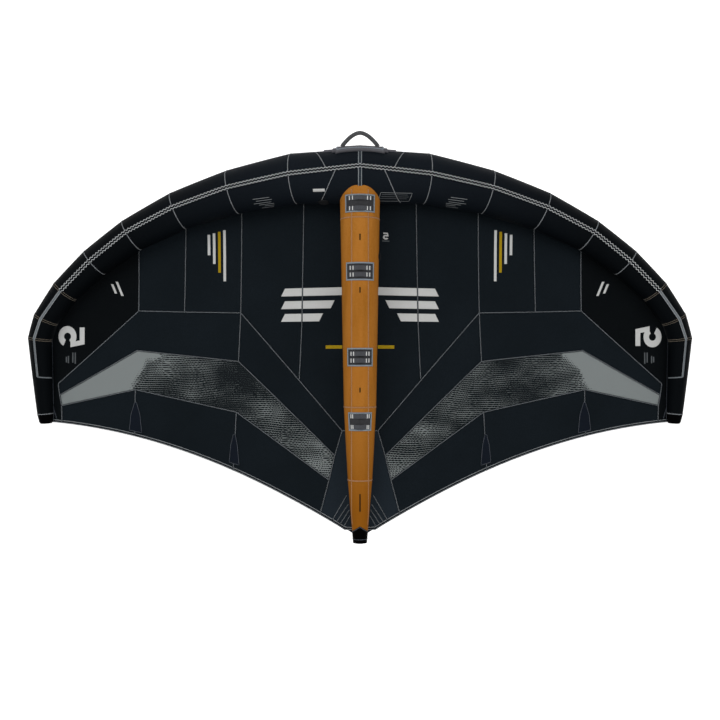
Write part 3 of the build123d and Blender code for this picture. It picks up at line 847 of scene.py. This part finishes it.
def cloth_panel(node, outline, cloth):
    """Adds the sheet of cloth inside one outline of a canopy node."""
    solid = surface_of(node)
    tree = edge_tree(outline)
    flat = [point.xy for point in outline]
    low = Vector((min(p.x for p in flat), min(p.y for p in flat)))
    high = Vector((max(p.x for p in flat), max(p.y for p in flat)))
    heights = {}
    columns = int((high.x - low.x) / CLOTH_STEP) + 1
    rows = int((high.y - low.y) / CLOTH_STEP) + 1
    for i in range(columns):
        for j in range(rows):
            point = low + Vector((i + 0.5 * (j % 2), j)) * CLOTH_STEP
            edge = tree.find((point.x, point.y, 0))[2]
            if edge > CLOTH_STEP * 0.45 and inside(point, outline):
                hit = solid.ray_cast(Vector((point.x, point.y, 2)), Vector((0, 0, -1)))[0]
                if hit:
                    heights[len(flat)] = hit.z + wrinkle(point.x, point.y, edge)
                    flat.append(point)
    count = len(outline)
    edges = [(k, (k + 1) % count) for k in range(count)]
    points, _, faces, origins, _, _ = geometry.delaunay_2d_cdt(flat, edges, [], 1, 1e-6)
    start = len(cloth.points)
    for point, origin in zip(points, origins):
        source = origin[0] if origin else None
        if source is not None and source < count:
            height = outline[source].z
        elif source is not None:
            height = heights[source]
        else:
            height = outline[tree.find((point.x, point.y, 0))[1]].z
        cloth.points.append(Vector((point.x, point.y, height)))
    cloth.patch(faces, start)


def lay(x, y):
    """Point and normal of the finished canopy at a place in plan."""
    hit, normal, _, _ = SURFACE["top"].ray_cast(Vector((x, y, 2)), Vector((0, 0, -1)))
    if hit is None:
        hit, normal, _, _ = SURFACE["top"].find_nearest(Vector((x, y, SURFACE["height"])))
    return hit, normal if normal.z > 0 else -normal


CANOPY_LOOKS = {"canopy_tip": "tip", "canopy_rear_centre": "rear", "window": "window"}


def flat_size(points, faces):
    """Width, length and area of the cut that a panel was sewn from."""
    area = sum(geometry.area_tri(*(points[corner] for corner in face)) for face in faces)
    plan = sum(geometry.area_tri(*(points[corner].xy for corner in face)) for face in faces)
    best = None
    for degrees in range(0, 90, 2):
        turn = math.radians(degrees)
        across = [point.x * math.cos(turn) + point.y * math.sin(turn) for point in points]
        along = [point.y * math.cos(turn) - point.x * math.sin(turn) for point in points]
        sides = (max(across) - min(across), max(along) - min(along))
        if best is None or sides[0] * sides[1] < best[0] * best[1]:
            best = sides
    grown = math.sqrt(area / plan) * 1.001
    return (best[0] * grown, best[1] * grown), area


def neighbours(outline):
    """Names of the CAD nodes that an outline is sewn to."""
    found = []
    for name, tree in HELD_BY.items():
        if sum(tree.find_nearest(point)[3] < SEAM_MATCH for point in outline[::4]) > 3:
            found.append(name)
    return found


class WING_OT_canopy(bpy.types.Operator):
    """Canopy: one curved sheet of sewn cloth panels"""
    bl_idname = "wing.canopy"
    bl_label = "Canopy"

    def execute(self, context):
        points, faces = [], []
        for node in NODES:
            if node.startswith(("le_panel", "strut_")) and not node.endswith(("bladder", "valve", "cap")):
                HELD_BY[node] = surface_of(node)
        for node in CANOPY_NODES:
            OUTLINES[node] = [finer(chain, OUTLINE_STEP) for chain in top_outlines(node)]
        for node in CANOPY_NODES:
            for outline in OUTLINES[node]:
                cloth = Cloth()
                cloth_panel(node, outline, cloth)
                faces += [[corner + len(points) for corner in face] for face in cloth.faces]
                points += cloth.points
                self.sheet(node, outline, cloth)
        SURFACE["top"] = BVHTree.FromPolygons(points, faces)
        SURFACE["height"] = sum(point.z for point in points) / len(points)
        return {"FINISHED"}

    def sheet(self, node, outline, cloth):
        place = sum(point.x for point in outline) / len(outline)
        side = "" if abs(place) < 0.02 else "_right" if place > 0 else "_left"
        slot = "window_film" if node == "window" else "canopy_cloth"
        look = LOOKS[CANOPY_LOOKS.get(node, "canopy")]
        made = cloth.piece(node.capitalize() + "_cloth" + side, [look], slot, [node])
        build = bmesh.new()
        build.from_mesh(made.data)
        if sum(face.normal.z for face in build.faces) < 0:
            bmesh.ops.reverse_faces(build, faces=build.faces)
        build.to_mesh(made.data)
        build.free()
        thick = made.modifiers.new("Thickness", "SOLIDIFY")
        thick.thickness = CLOTH_THICKNESS
        thick.offset = -1
        flat, area = flat_size(cloth.points, cloth.faces)
        neighbours(outline)


HELD_BY = {}
SEAM_WIDTH = 0.008
HEM_WIDTH = 0.015


def outline_kinds():
    """For each outline, whether each point is on a seam, on the leading edge or on the free edge."""
    every = [(node, index, point) for node in CANOPY_NODES
             for index, outline in enumerate(OUTLINES[node]) for point in outline]
    tree = kdtree.KDTree(len(every))
    for index, (_, _, point) in enumerate(every):
        tree.insert((point.x, point.y, 0), index)
    tree.balance()
    tubes = BVHTree.FromPolygons(*tube_faces())
    kinds = {}
    for node in CANOPY_NODES:
        for index, outline in enumerate(OUTLINES[node]):
            marks = []
            for point in outline:
                near = tree.find_range((point.x, point.y, 0), OUTLINE_STEP * 0.75)
                others = {every[k][:2] for _, k, _ in near} - {(node, index)}
                if tubes.find_nearest(point)[3] < TUBE_REACH:
                    marks.append("tube")
                elif others:
                    marks.append("seam" if min(others) > (node, index) else "shared")
                else:
                    marks.append("hem")
            kinds[node, index] = marks
    return kinds


def tube_faces():
    """Faces of all the leading edge's CAD nodes."""
    points, faces = [], []
    for name in [f"le_panel_{i + 1}" for i in range(PANEL_COUNT)] + ["tip_caps"]:
        mesh = NODES[name].data
        faces += [[corner + len(points) for corner in face.vertices] for face in mesh.polygons]
        points += [vertex.co for vertex in mesh.vertices]
    return points, faces


def runs(outline, marks, kind):
    """Stretches of an outline that are of one kind and have no sharp corner."""
    count = len(outline)
    breaks = set()
    for k in range(count):
        back, ahead = outline[k] - outline[k - 1], outline[(k + 1) % count] - outline[k]
        if back.length > 0 and ahead.length > 0 and back.normalized().dot(ahead.normalized()) < SHARP_TURN:
            breaks.add(k)
    start = next((k for k in range(count) if marks[k] != kind or k in breaks), 0)
    found, run = [], []
    for step in range(count + 1):
        k = (start + step) % count
        if marks[k] == kind:
            run.append(outline[k])
            if k in breaks and len(run) > 1:
                found.append(run)
                run = [outline[k]]
        else:
            if run:
                run.append(outline[k])
                found.append(run)
            run = [outline[k]] if marks[(k + 1) % count] == kind else []
    if len(run) > 1:
        found.append(run)
    return [run for run in found if len(run) > 2]


def taped(cloth, run, width, look, inset=0.0, both=True, lift=0.0002):
    """Tapes a line that lies on the canopy, on top and underneath."""
    for sign in (1, -1) if both else (1,):
        line = []
        for i, point in enumerate(run):
            ahead = run[min(i + 1, len(run) - 1)] - run[max(i - 1, 0)]
            inward = Vector((-ahead.y, ahead.x, 0)).normalized() * inset
            spot, normal = lay(point.x + inward.x, point.y + inward.y)
            depth = lift if sign > 0 else -CLOTH_THICKNESS - lift
            line.append((spot + normal * depth, normal * sign))
        cloth.tape(line, width, TAPE_HEIGHT, look)


class WING_OT_canopy_seams(bpy.types.Operator):
    """Seam tapes between the canopy's panels and the hem along its free edge"""
    bl_idname = "wing.canopy_seams"
    bl_label = "Canopy seams"

    def execute(self, context):
        kinds = outline_kinds()
        seams, hems = Cloth(), Cloth()
        for (node, index), marks in kinds.items():
            outline = OUTLINES[node][index]
            for run in runs(outline, marks, "seam"):
                taped(seams, run, SEAM_WIDTH, 0)
            for run in runs(outline, marks, "hem"):
                taped(hems, run, HEM_WIDTH, 0, inset=HEM_WIDTH / 2)
            if node in ("canopy_tip", "canopy_band_outer"):
                for run in runs(outline, marks, "tube"):
                    taped(seams, run, 0.005, 1, inset=0.006)
        seams.piece("Canopy_seams", [LOOKS["seam"], LOOKS["fine"]], "canopy_cloth")
        hems.piece("Canopy_hem", [LOOKS["hem"]], "canopy_cloth")
        return {"FINISHED"}


DARTS = [((0.613, -0.476), (0.604, -0.476), (0.592, -0.525),
          (0.580, -0.620), (0.629, -0.606), (0.624, -0.525)),
         ((1.114, -0.324), (1.105, -0.324), (1.085, -0.385),
          (1.073, -0.472), (1.136, -0.460), (1.131, -0.385))]
DART_LIFT = 0.0028  # clear of the seam tape that a dart covers
DART_EDGE_WIDTH = 0.005
TRIM_LINE_WIDTH = 0.007
TAIL_LINES = [((0.062, -0.744), (0.127, -0.857)), ((0.054, -0.784), (0.106, -0.862)),
              ((0.049, -0.809), (0.092, -0.875)), ((0.046, -0.835), (0.072, -0.881))]
TIP_STRAP = ((1.533, -0.302), (1.526, -0.350), (1.510, -0.405))


def straight(points, step=0.01):
    """Points along straight runs in plan."""
    line = []
    for a, b in zip(points, points[1:]):
        a, b = Vector((*a, 0)), Vector((*b, 0))
        pieces = max(2, round((b - a).length / step))
        line += [a.lerp(b, k / pieces) for k in range(pieces)]
    return line + [Vector((*points[-1], 0))]


def print_shape(cloth, outline, look=0, step=0.02, lift=0.0005):
    """Lays a flat printed shape on the canopy."""
    flat = [point.xy for point in straight(list(outline) + [outline[0]], step)][:-1]
    count = len(flat)
    low = Vector((min(p.x for p in flat), min(p.y for p in flat)))
    high = Vector((max(p.x for p in flat), max(p.y for p in flat)))
    solid = [Vector((p.x, p.y, 0)) for p in flat]
    for i in range(int((high.x - low.x) / step) + 1):
        for j in range(int((high.y - low.y) / step) + 1):
            point = low + Vector((i + 0.5, j + 0.5)) * step
            if inside(point, solid) and min((point - edge).length for edge in flat[:count]) > step * 0.4:
                flat.append(point)
    edges = [(k, (k + 1) % count) for k in range(count)]
    points, _, faces, _, _, _ = geometry.delaunay_2d_cdt(flat, edges, [], 1, 1e-6)
    start = len(cloth.points)
    for point in points:
        spot, normal = lay(point.x, point.y)
        cloth.points.append(spot + normal * lift)
    cloth.patch(faces, start, look)


class WING_OT_canopy_trim(bpy.types.Operator):
    """Darts on the free edge, stitched lines at the tail and straps at the tips"""
    bl_idname = "wing.canopy_trim"
    bl_label = "Canopy trim"

    def execute(self, context):
        trim = Cloth()
        for side in (1, -1):
            for dart in DARTS:
                shape = [(side * x, y) for x, y in dart]
                print_shape(trim, shape, 1, lift=DART_LIFT)
                taped(trim, straight(shape + [shape[0]]), DART_EDGE_WIDTH, 2, both=False, lift=DART_LIFT)
            for line in TAIL_LINES:
                taped(trim, straight([(side * x, y) for x, y in line]), TRIM_LINE_WIDTH, 0)
            taped(trim, straight([(side * x, y) for x, y in TIP_STRAP]), TRIM_LINE_WIDTH, 2)
            self.gusset(trim, side)
        looks = [LOOKS[name] for name in ("seam", "dart", "fine", "rear", "hem")]
        trim.piece("Canopy_trim", looks, "canopy_cloth")
        return {"FINISHED"}

    def gusset(self, cloth, side):
        """Adds the small corner of cloth between the trailing edge and the tail cap."""
        corners = []
        for x, y in TAIL_GUSSET:
            spot, _ = lay(side * x, y)
            corners.append(Vector((side * x, y, spot.z - 0.0004)))
        start = len(cloth.points)
        cloth.points += corners + [corner - UP * 0.0008 for corner in corners]
        sides = [(k, (k + 1) % 3, 3 + (k + 1) % 3, 3 + k) for k in range(3)]
        cloth.patch([(0, 1, 2), (5, 4, 3)] + sides, start, 3)
        edge = [corners[0].lerp(corners[2], k / 8) for k in range(9)]
        cloth.tape([(point + UP * 0.0004, UP) for point in edge], 0.010, TAPE_HEIGHT, 4)


TAIL_GUSSET = [(0.072, -0.886), (0.036, -0.884), (0.034, -0.911)]


def stripe(centre, size, slant=0.0):
    """Slanting bar in plan, given its centre and its size along X and Y."""
    (x, y), (wide, deep) = centre, size
    lean = slant * deep / 2
    return [(x - wide / 2 - lean, y - deep / 2), (x + wide / 2 - lean, y - deep / 2),
            (x + wide / 2 + lean, y + deep / 2), (x - wide / 2 + lean, y + deep / 2)]


NUMERAL_HEIGHT = 0.128
NUMERAL_LIFT = 0.0008
BAR = [(-0.040, 0.040), (0.046, 0.040), (0.046, 0.064), (-0.038, 0.064)]
STEM = [(-0.052, -0.006), (-0.028, -0.006), (-0.014, 0.064), (-0.038, 0.064)]
BOWL_CENTRE = (0.001, -0.020)
BOWL_RADII = [(0.052, 0.044), (0.019, 0.017)]
BOWL_TURNS = (150, -152)


def numeral_outlines():
    """Closed outlines whose union is the size numeral, a 5, upright about its middle."""
    bowl = []
    for radii, (first, last) in zip(BOWL_RADII, (BOWL_TURNS, BOWL_TURNS[::-1])):
        for k in range(33):
            turn = math.radians(first + (last - first) * k / 32)
            bowl.append((BOWL_CENTRE[0] + radii[0] * math.cos(turn),
                         BOWL_CENTRE[1] + radii[1] * math.sin(turn)))
    return [BAR, STEM, bowl]


def numeral(cloth, height, place):
    """Lays the size numeral on the canopy; place turns its own X and Y into a place in plan."""
    scale = height / NUMERAL_HEIGHT
    flat, edges = [], []
    for outline in numeral_outlines():
        first = len(flat)
        for a, b in zip(outline, outline[1:] + outline[:1]):
            pieces = max(1, round(math.dist(a, b) / 0.008))
            flat += [Vector(a).lerp(Vector(b), k / pieces) for k in range(pieces)]
        count = len(flat) - first
        edges += [(first + k, first + (k + 1) % count) for k in range(count)]
    points, _, faces, _, _, _ = geometry.delaunay_2d_cdt(flat, edges, [], 1, 1e-6)
    start = len(cloth.points)
    for point in points:
        spot, normal = lay(*place(point.x * scale, point.y * scale))
        cloth.points.append(spot + normal * NUMERAL_LIFT)
    cloth.patch(faces, start)


FAINT_BARS = [(1.418, -0.105, 0.056), (1.430, -0.102, 0.050), (1.452, -0.112, 0.036), (1.462, -0.112, 0.028)]


class WING_OT_prints(bpy.types.Operator):
    """Size numerals at the tips and plain printed bars"""
    bl_idname = "wing.prints"
    bl_label = "Prints"

    def execute(self, context):
        prints = Cloth()
        for side in (1, -1):
            numeral(prints, NUMERAL_HEIGHT, lambda x, y: (side * (1.436 - y), 0.002 - side * x))
            for k in range(3):
                bar = stripe((0.225 + 0.028 * k, 0.215 - 0.062 * k), (0.300 - 0.056 * k, 0.038), -0.5)
                print_shape(prints, [(side * x, y) for x, y in bar])
            for k in range(4):
                bar = stripe((0.668 + 0.026 * k, 0.400 + 0.018 * k), (0.013, 0.250 - 0.050 * k), 0.0)
                print_shape(prints, [(side * x, y) for x, y in bar], 1 if k == 1 else 0)
            for k in range(2):
                bar = stripe((1.196 + 0.028 * k, 0.240), (0.012, 0.070 - 0.024 * k), 0.4)
                print_shape(prints, [(side * x, y) for x, y in bar])
            for x, y, length in FAINT_BARS:
                print_shape(prints, [(side * u, v) for u, v in stripe((x, y), (0.006, length))], 2, 0.01)
            bar = stripe((0.124, -0.052), (0.080, 0.016), 0.0)
            print_shape(prints, [(side * x, y) for x, y in bar], 1)
        numeral(prints, 0.034, lambda x, y: (0.124 - x, 0.482 + y))
        print_shape(prints, stripe((0.124, 0.458), (0.034, 0.005)), 2, 0.01)
        prints.piece("Prints", [LOOKS["print"], LOOKS["yellow"], LOOKS["faint"]], "canopy_cloth")
        return {"FINISHED"}


# Handle stations

PAD_WRAP = 46  # degrees each way from the top of the strut
PAD_LIFT = 0.0012
PAD_SWELL = 0.0013
PAD_RIPPLE = 0.0004
PAD_ROUND = 0.0035
BORDER_WIDTH = 0.0070
BORDER_LIFT = 0.0027
BORDER_HEIGHT = 0.0006
TACK_ANGLES = (20.5, 29.5)  # degrees from the top of the strut
REAR_TACK_ANGLES = (26.0, 33.0)
TACK_SIZE = (0.0046, 0.0185, 0.0012)


def pad_spans():
    """Front and rear edge of each pad on the strut."""
    loops = []
    build = bmesh.new()
    build.from_mesh(NODES["handle_patches"].data)
    bmesh.ops.remove_doubles(build, verts=build.verts, dist=NEAR / 4)
    left = set(build.verts)
    while left:
        group, heap = set(), [left.pop()]
        while heap:
            vertex = heap.pop()
            group.add(vertex)
            for edge in vertex.link_edges:
                other = edge.other_vert(vertex)
                if other in left:
                    left.remove(other)
                    heap.append(other)
        loops.append((max(v.co.y for v in group), min(v.co.y for v in group)))
    build.free()
    return sorted(loops, reverse=True)


class WING_OT_handle_stations(bpy.types.Operator):
    """Pads on the strut with their borders and the bar tacks that hold the loops"""
    bl_idname = "wing.handle_stations"
    bl_label = "Handle stations"

    def execute(self, context):
        pads, tacks = Cloth(), Cloth()
        spans = pad_spans()
        limit = math.radians(PAD_WRAP)
        for front, back in spans:
            rows = []
            for i in range(25):
                share = i / 24
                y = front + (back - front) * share
                row = []
                for k in range(49):
                    turn = -limit + 2 * limit * k / 48
                    place = strut_place(y)
                    rim = min(share, 1 - share) * (front - back)
                    rim = min(rim, (limit - abs(turn)) * strut_width(place) / 2)
                    fall = math.sqrt(max(0.0, 1 - max(0.0, 1 - rim / PAD_ROUND) ** 2))
                    ripple = PAD_RIPPLE * noise.noise(Vector((turn * 12, y * 60, 1)))
                    row.append(between(STRUT, place, turn, PAD_LIFT + PAD_SWELL * fall + ripple * fall))
                rows.append(row)
            pads.grid(rows)
            edges = []
            for y in (front - BORDER_WIDTH / 2, back + BORDER_WIDTH / 2):
                place = strut_place(y)
                turn = limit - BORDER_WIDTH / strut_width(place)
                edges.append(ring_line(STRUT, place, BORDER_LIFT, -turn, turn, 32))
            for side in (1, -1):
                line = []
                for k in range(17):
                    place = strut_place(front + (back - front) * k / 16)
                    turn = side * (limit - BORDER_WIDTH / strut_width(place))
                    line.append(tube_spot(STRUT, place, turn, BORDER_LIFT))
                edges.append(line)
            for line in edges:
                pads.tape(line, BORDER_WIDTH, BORDER_HEIGHT, 1)
        pads.piece("Handle_pads", [LOOKS["pad"], LOOKS["border"]], "patch_cloth", ["handle_patches"])
        for node in LOOP_NODES:
            tree = surface_of(node)
            low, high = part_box(node)
            for y in (high.y - WEBBING / 2, low.y + WEBBING / 2):
                for angle in REAR_TACK_ANGLES if node == LOOP_NODES[-1] else TACK_ANGLES:
                    for side in (1, -1):
                        self.tack(tacks, tree, y, side * math.radians(angle))
        tacks.piece("Bar_tacks", [LOOKS["tack"]], "webbing")
        for node in LOOP_NODES:
            finish_node(node, LOOKS["webbing"])
        return {"FINISHED"}

    def tack(self, cloth, tree, y, angle):
        """Adds one bar tack: a low rounded bar of dense stitches across the end of a loop."""
        wide, deep, high = TACK_SIZE
        lifts = []
        for i in range(13):
            place = strut_place(y + deep * (i / 12 - 0.5))
            outside, axis = between(STRUT, place, angle, 0.05), between(STRUT, place, angle, -0.02)
            hit = tree.ray_cast(outside, (axis - outside).normalized())[0]
            lifts.append(0.05 - (outside - hit).length if hit else WEBBING_TOP)
        lift = sorted(lifts)[len(lifts) // 2]
        rows = []
        for i in range(13):
            place = strut_place(y + deep * (i / 12 - 0.5))
            swell = 1 + 0.08 * math.sin(i * 2.6)
            row = []
            for k in range(7):
                turn = math.pi * k / 6
                side = math.cos(turn) * wide / strut_width(place) * swell
                row.append(between(STRUT, place, angle + side, lift - 0.0003 + high * math.sin(turn) * swell))
            rows.append(row)
        cloth.grid(rows)


WEBBING = 0.020
WEBBING_TOP = 0.0043


def finish_node(node, material):
    """Gives a CAD node its finish."""
    mesh = NODES[node].data
    mesh.materials.clear()
    mesh.materials.append(material)
    for face in mesh.polygons:
        face.material_index = 0


# Front handle

# Half length, wrap at the middle and at the ends in degrees, lift, thickness and finish of each layer
BASE_LAYERS = [(0.165, 9, 9, 0.0003, 0.0075, 0), (0.125, 13, 17, 0.0060, 0.0070, 0),
               (0.108, 16, 23, 0.0100, 0.0092, 1)]
EDGING_AT = (0.93, 0.82)  # of the top layer, as shares of its half length and half width
HANDLE_TILT = 20
GRIP_CURVE = 1.8


class WING_OT_front_handle(bpy.types.Operator):
    """Layered pad at the nose and the arch that is held"""
    bl_idname = "wing.front_handle"
    bl_label = "Front handle"

    def base_point(self, s, t, half, wrap, ends, rise):
        """Point on the base, s from end to end and t across it."""
        span = LEADING[1].centre.x - LEADING[0].centre.x
        limit = math.radians(wrap + (ends - wrap) * s ** 4)
        angle = math.radians(HANDLE_TILT - 90) + t * limit
        point = between(LEADING, abs(s) * half / span, angle, rise)
        return Vector((math.copysign(point.x, s), point.y, point.z))

    def execute(self, context):
        base = Cloth()
        looks = [LOOKS["base_edge"], LOOKS["base"], LOOKS["border"]]
        for half, wrap, ends, lift, thick, look in BASE_LAYERS:
            for low in (False, True):
                rows = []
                for i in range(61):
                    s = 2 * i / 60 - 1
                    row = []
                    for k in range(25):
                        t = 2 * k / 24 - 1
                        limit = math.radians(wrap)
                        rim = min((1 - abs(s)) * half, (1 - abs(t)) * limit * LEADING[0].radius)
                        fall = math.sqrt(max(0.0, 1 - max(0.0, 1 - rim / min(0.008, thick)) ** 2))
                        crown = 0.94 + 0.06 * math.cos(math.pi * s / 2) * math.cos(math.pi * t / 2)
                        rise = -0.001 if low or rim <= 0 else lift + thick * fall * crown
                        row.append(self.base_point(s, t, half, wrap, ends, rise))
                    rows.append(row)
                base.grid(rows, look=look)
        half, wrap, ends, lift, thick, _ = BASE_LAYERS[-1]
        for sign in (1, -1):
            along = [(EDGING_AT[0] * (i / 20 - 1), sign * EDGING_AT[1]) for i in range(41)]
            across = [(sign * EDGING_AT[0], EDGING_AT[1] * (i / 8 - 1)) for i in range(17)]
            for places in (along, across):
                line = []
                for s, t in places:
                    spot = self.base_point(s, t, half, wrap, ends, lift + thick * 0.95)
                    high = self.base_point(s, t, half, wrap, ends, 1)
                    line.append((spot, (high - spot).normalized()))
                base.tape(line, 0.006, 0.0008, 2)
        made = base.piece("Front_handle_base", looks, "handle_pad", ["front_handle_base"])
        self.grip()
        return {"FINISHED"}

    def grip(self):
        """Makes the arch from one rounded tube."""
        tilt = math.radians(HANDLE_TILT)
        out, up = Vector((0, math.cos(tilt), math.sin(tilt))), Vector((0, -math.sin(tilt), math.cos(tilt)))
        points = corners_of("front_handle_grip")
        levels, heights = [point.dot(out) for point in points], [point.dot(up) for point in points]
        radius = (max(heights) - min(heights)) / 2
        foot, middle = min(levels), (max(heights) + min(heights)) / 2
        feet = max(abs(point.x) for point in points) - radius
        rise = max(levels) - radius - foot
        axis = []
        for k in range(61):
            x = feet * math.sin(math.pi / 2 * (2 * k / 60 - 1))
            axis.append((x, foot + rise * (1 - abs(x / feet) ** GRIP_CURVE)))
        cloth = Cloth()
        rows = []
        for k, (x, level) in enumerate(axis):
            (x0, l0), (x1, l1) = axis[max(k - 1, 0)], axis[min(k + 1, 60)]
            run = Vector((x1 - x0, 0, 0)) + out * (l1 - l0)
            side = run.cross(up).normalized()
            ridge = 1 + 0.035 * math.cos(k * 1.9) * (abs(x) < feet * 0.55)
            centre = Vector((x, 0, 0)) + out * level + up * middle
            rows.append([centre + (side * math.cos(a) + up * math.sin(a)) * radius * min(1.0, ridge)
                         for a in (2 * math.pi * j / 32 for j in range(32))])
        cloth.grid(rows, closed=True)
        for row in (rows[0], rows[-1]):
            cloth.fan(row, sum(row, Vector((0, 0, 0))) / len(row))
        cloth.piece("Front_handle_grip", [LOOKS["grip"]], "grip_rubber", ["front_handle_grip"],
                    "front_handle")


class WING_OT_valves(bpy.types.Operator):
    """Finish of the valves, and of the bladders inside the tubes"""
    bl_idname = "wing.valves"
    bl_label = "Valves and bladders"

    def execute(self, context):
        for node in ("inflation_valve", "inflation_valve_cap", "strut_valve", "strut_valve_cap"):
            finish_node(node, LOOKS["valve"])
        for node in ("le_bladder", "strut_bladder"):
            finish_node(node, LOOKS["film"])
        return {"FINISHED"}


# Stage

CAMERA_HEIGHT = 4.495
CAMERA_Y = -0.114
CAMERA_LENS = 45.0
FLOOR_SIZE = 30.0
FLOOR_LEVEL = -0.003  # below the swell of the sleeves
LAMPS = [("Key", (-2.6, 2.4, 4.6), 3.2, 110.0), ("Fill", (3.0, 1.2, 4.4), 3.2, 66.0),
         ("Back", (0.0, -3.6, 4.0), 3.0, 44.0)]  # place, size and power in watts
WORLD_LIGHT = 0.42


def floor_look():
    """White floor that keeps a soft shadow."""
    look = Look("Floor_white", roughness=1.0)
    look.shader.inputs["Specular IOR Level"].default_value = 0.0
    look.shader.inputs["Base Color"].default_value = (0.86, 0.86, 0.86, 1)
    path = look.add("ShaderNodeLightPath")
    seen = look.maths("MAXIMUM", path.outputs["Is Camera Ray"], path.outputs["Is Glossy Ray"])
    seen = look.maths("MAXIMUM", seen, path.outputs["Is Transmission Ray"])
    look.shader.inputs["Emission Color"].default_value = (1, 1, 1, 1)
    look.tree.links.new(look.maths("MULTIPLY", seen, 0.72), look.shader.inputs["Emission Strength"])
    return look.material


class WING_OT_stage(bpy.types.Operator):
    """Floor, soft lights, world and camera"""
    bl_idname = "wing.stage"
    bl_label = "Stage"

    def execute(self, context):
        scene = context.scene
        mesh = bpy.data.meshes.new("Floor")
        half = FLOOR_SIZE / 2
        corners = [(x * half, y * half, FLOOR_LEVEL) for x, y in ((-1, -1), (1, -1), (1, 1), (-1, 1))]
        mesh.from_pydata(corners, [], [(0, 1, 2, 3)])
        mesh.materials.append(floor_look())
        floor = bpy.data.objects.new("Floor", mesh)
        scene.collection.objects.link(floor)
        for name, place, size, power in LAMPS:
            light = bpy.data.lights.new(name, "AREA")
            light.size = size
            light.energy = power
            lamp = bpy.data.objects.new(name, light)
            lamp.location = place
            lamp.rotation_euler = (Vector((0, 0, 0.1)) - Vector(place)).to_track_quat("-Z", "Y").to_euler()
            scene.collection.objects.link(lamp)
        world = bpy.data.worlds.new("Studio")
        world.use_nodes = True
        tree = world.node_tree
        background = tree.nodes["Background"]
        background.inputs["Color"].default_value = (1, 1, 1, 1)
        path = tree.nodes.new("ShaderNodeLightPath")
        light = tree.nodes.new("ShaderNodeMapRange")
        light.inputs["To Min"].default_value = WORLD_LIGHT
        light.inputs["To Max"].default_value = 1.0
        tree.links.new(path.outputs["Is Camera Ray"], light.inputs["Value"])
        tree.links.new(light.outputs[0], background.inputs["Strength"])
        scene.world = world
        camera = bpy.data.cameras.new("Camera")
        camera.lens = CAMERA_LENS
        camera.sensor_width = 36.0
        eye = bpy.data.objects.new("Camera", camera)
        eye.location = (0, CAMERA_Y, CAMERA_HEIGHT)
        scene.collection.objects.link(eye)
        scene.camera = eye
        scene.view_settings.view_transform = "Standard"
        return {"FINISHED"}


# Add-on

class WING_PG_colours(bpy.types.PropertyGroup):
    """Colours that an owner would choose."""
    canopy: bpy.props.FloatVectorProperty(name="Canopy", description="Colour of the canopy cloth",
                                          subtype="COLOR", size=3, min=0, max=1,
                                          default=(0.056, 0.080, 0.096))
    sleeve: bpy.props.FloatVectorProperty(name="Leading edge", description="Colour of the leading edge",
                                          subtype="COLOR", size=3, min=0, max=1,
                                          default=(0.058, 0.079, 0.100))
    strut: bpy.props.FloatVectorProperty(name="Strut", description="Colour of the strut's cloth",
                                         subtype="COLOR", size=3, min=0, max=1,
                                         default=(0.651, 0.404, 0.137))


PIECES = [WING_OT_leading_edge, WING_OT_strut, WING_OT_canopy, WING_OT_canopy_seams, WING_OT_canopy_trim,
          WING_OT_prints, WING_OT_handle_stations, WING_OT_front_handle, WING_OT_valves, WING_OT_stage]


class WING_PT_panel(bpy.types.Panel):
    """Lists the wing's pieces in the sidebar"""
    bl_label = "Wing"
    bl_idname = "WING_PT_panel"
    bl_space_type = "VIEW_3D"
    bl_region_type = "UI"
    bl_category = "Wing"

    def draw(self, context):
        for name in ("canopy", "sleeve", "strut"):
            self.layout.prop(context.scene.wing_colours, name)
        for operator in PIECES:
            self.layout.operator(operator.bl_idname)


CLASSES = [WING_PG_colours] + PIECES + [WING_PT_panel]


def register():
    """Registers the classes and the scene's colours."""
    for made in CLASSES:
        bpy.utils.register_class(made)
    bpy.types.Scene.wing_colours = bpy.props.PointerProperty(type=WING_PG_colours)


def unregister():
    """Undoes register."""
    del bpy.types.Scene.wing_colours
    for made in reversed(CLASSES):
        bpy.utils.unregister_class(made)


def main():
    """Builds every piece and the stage."""
    register()
    LOOKS.update(finishes())
    for operator in PIECES:
        group, name = operator.bl_idname.split(".")
        getattr(getattr(bpy.ops, group), name)()
    bpy.context.view_layer.update()


if __name__ == "__main__":
    main()
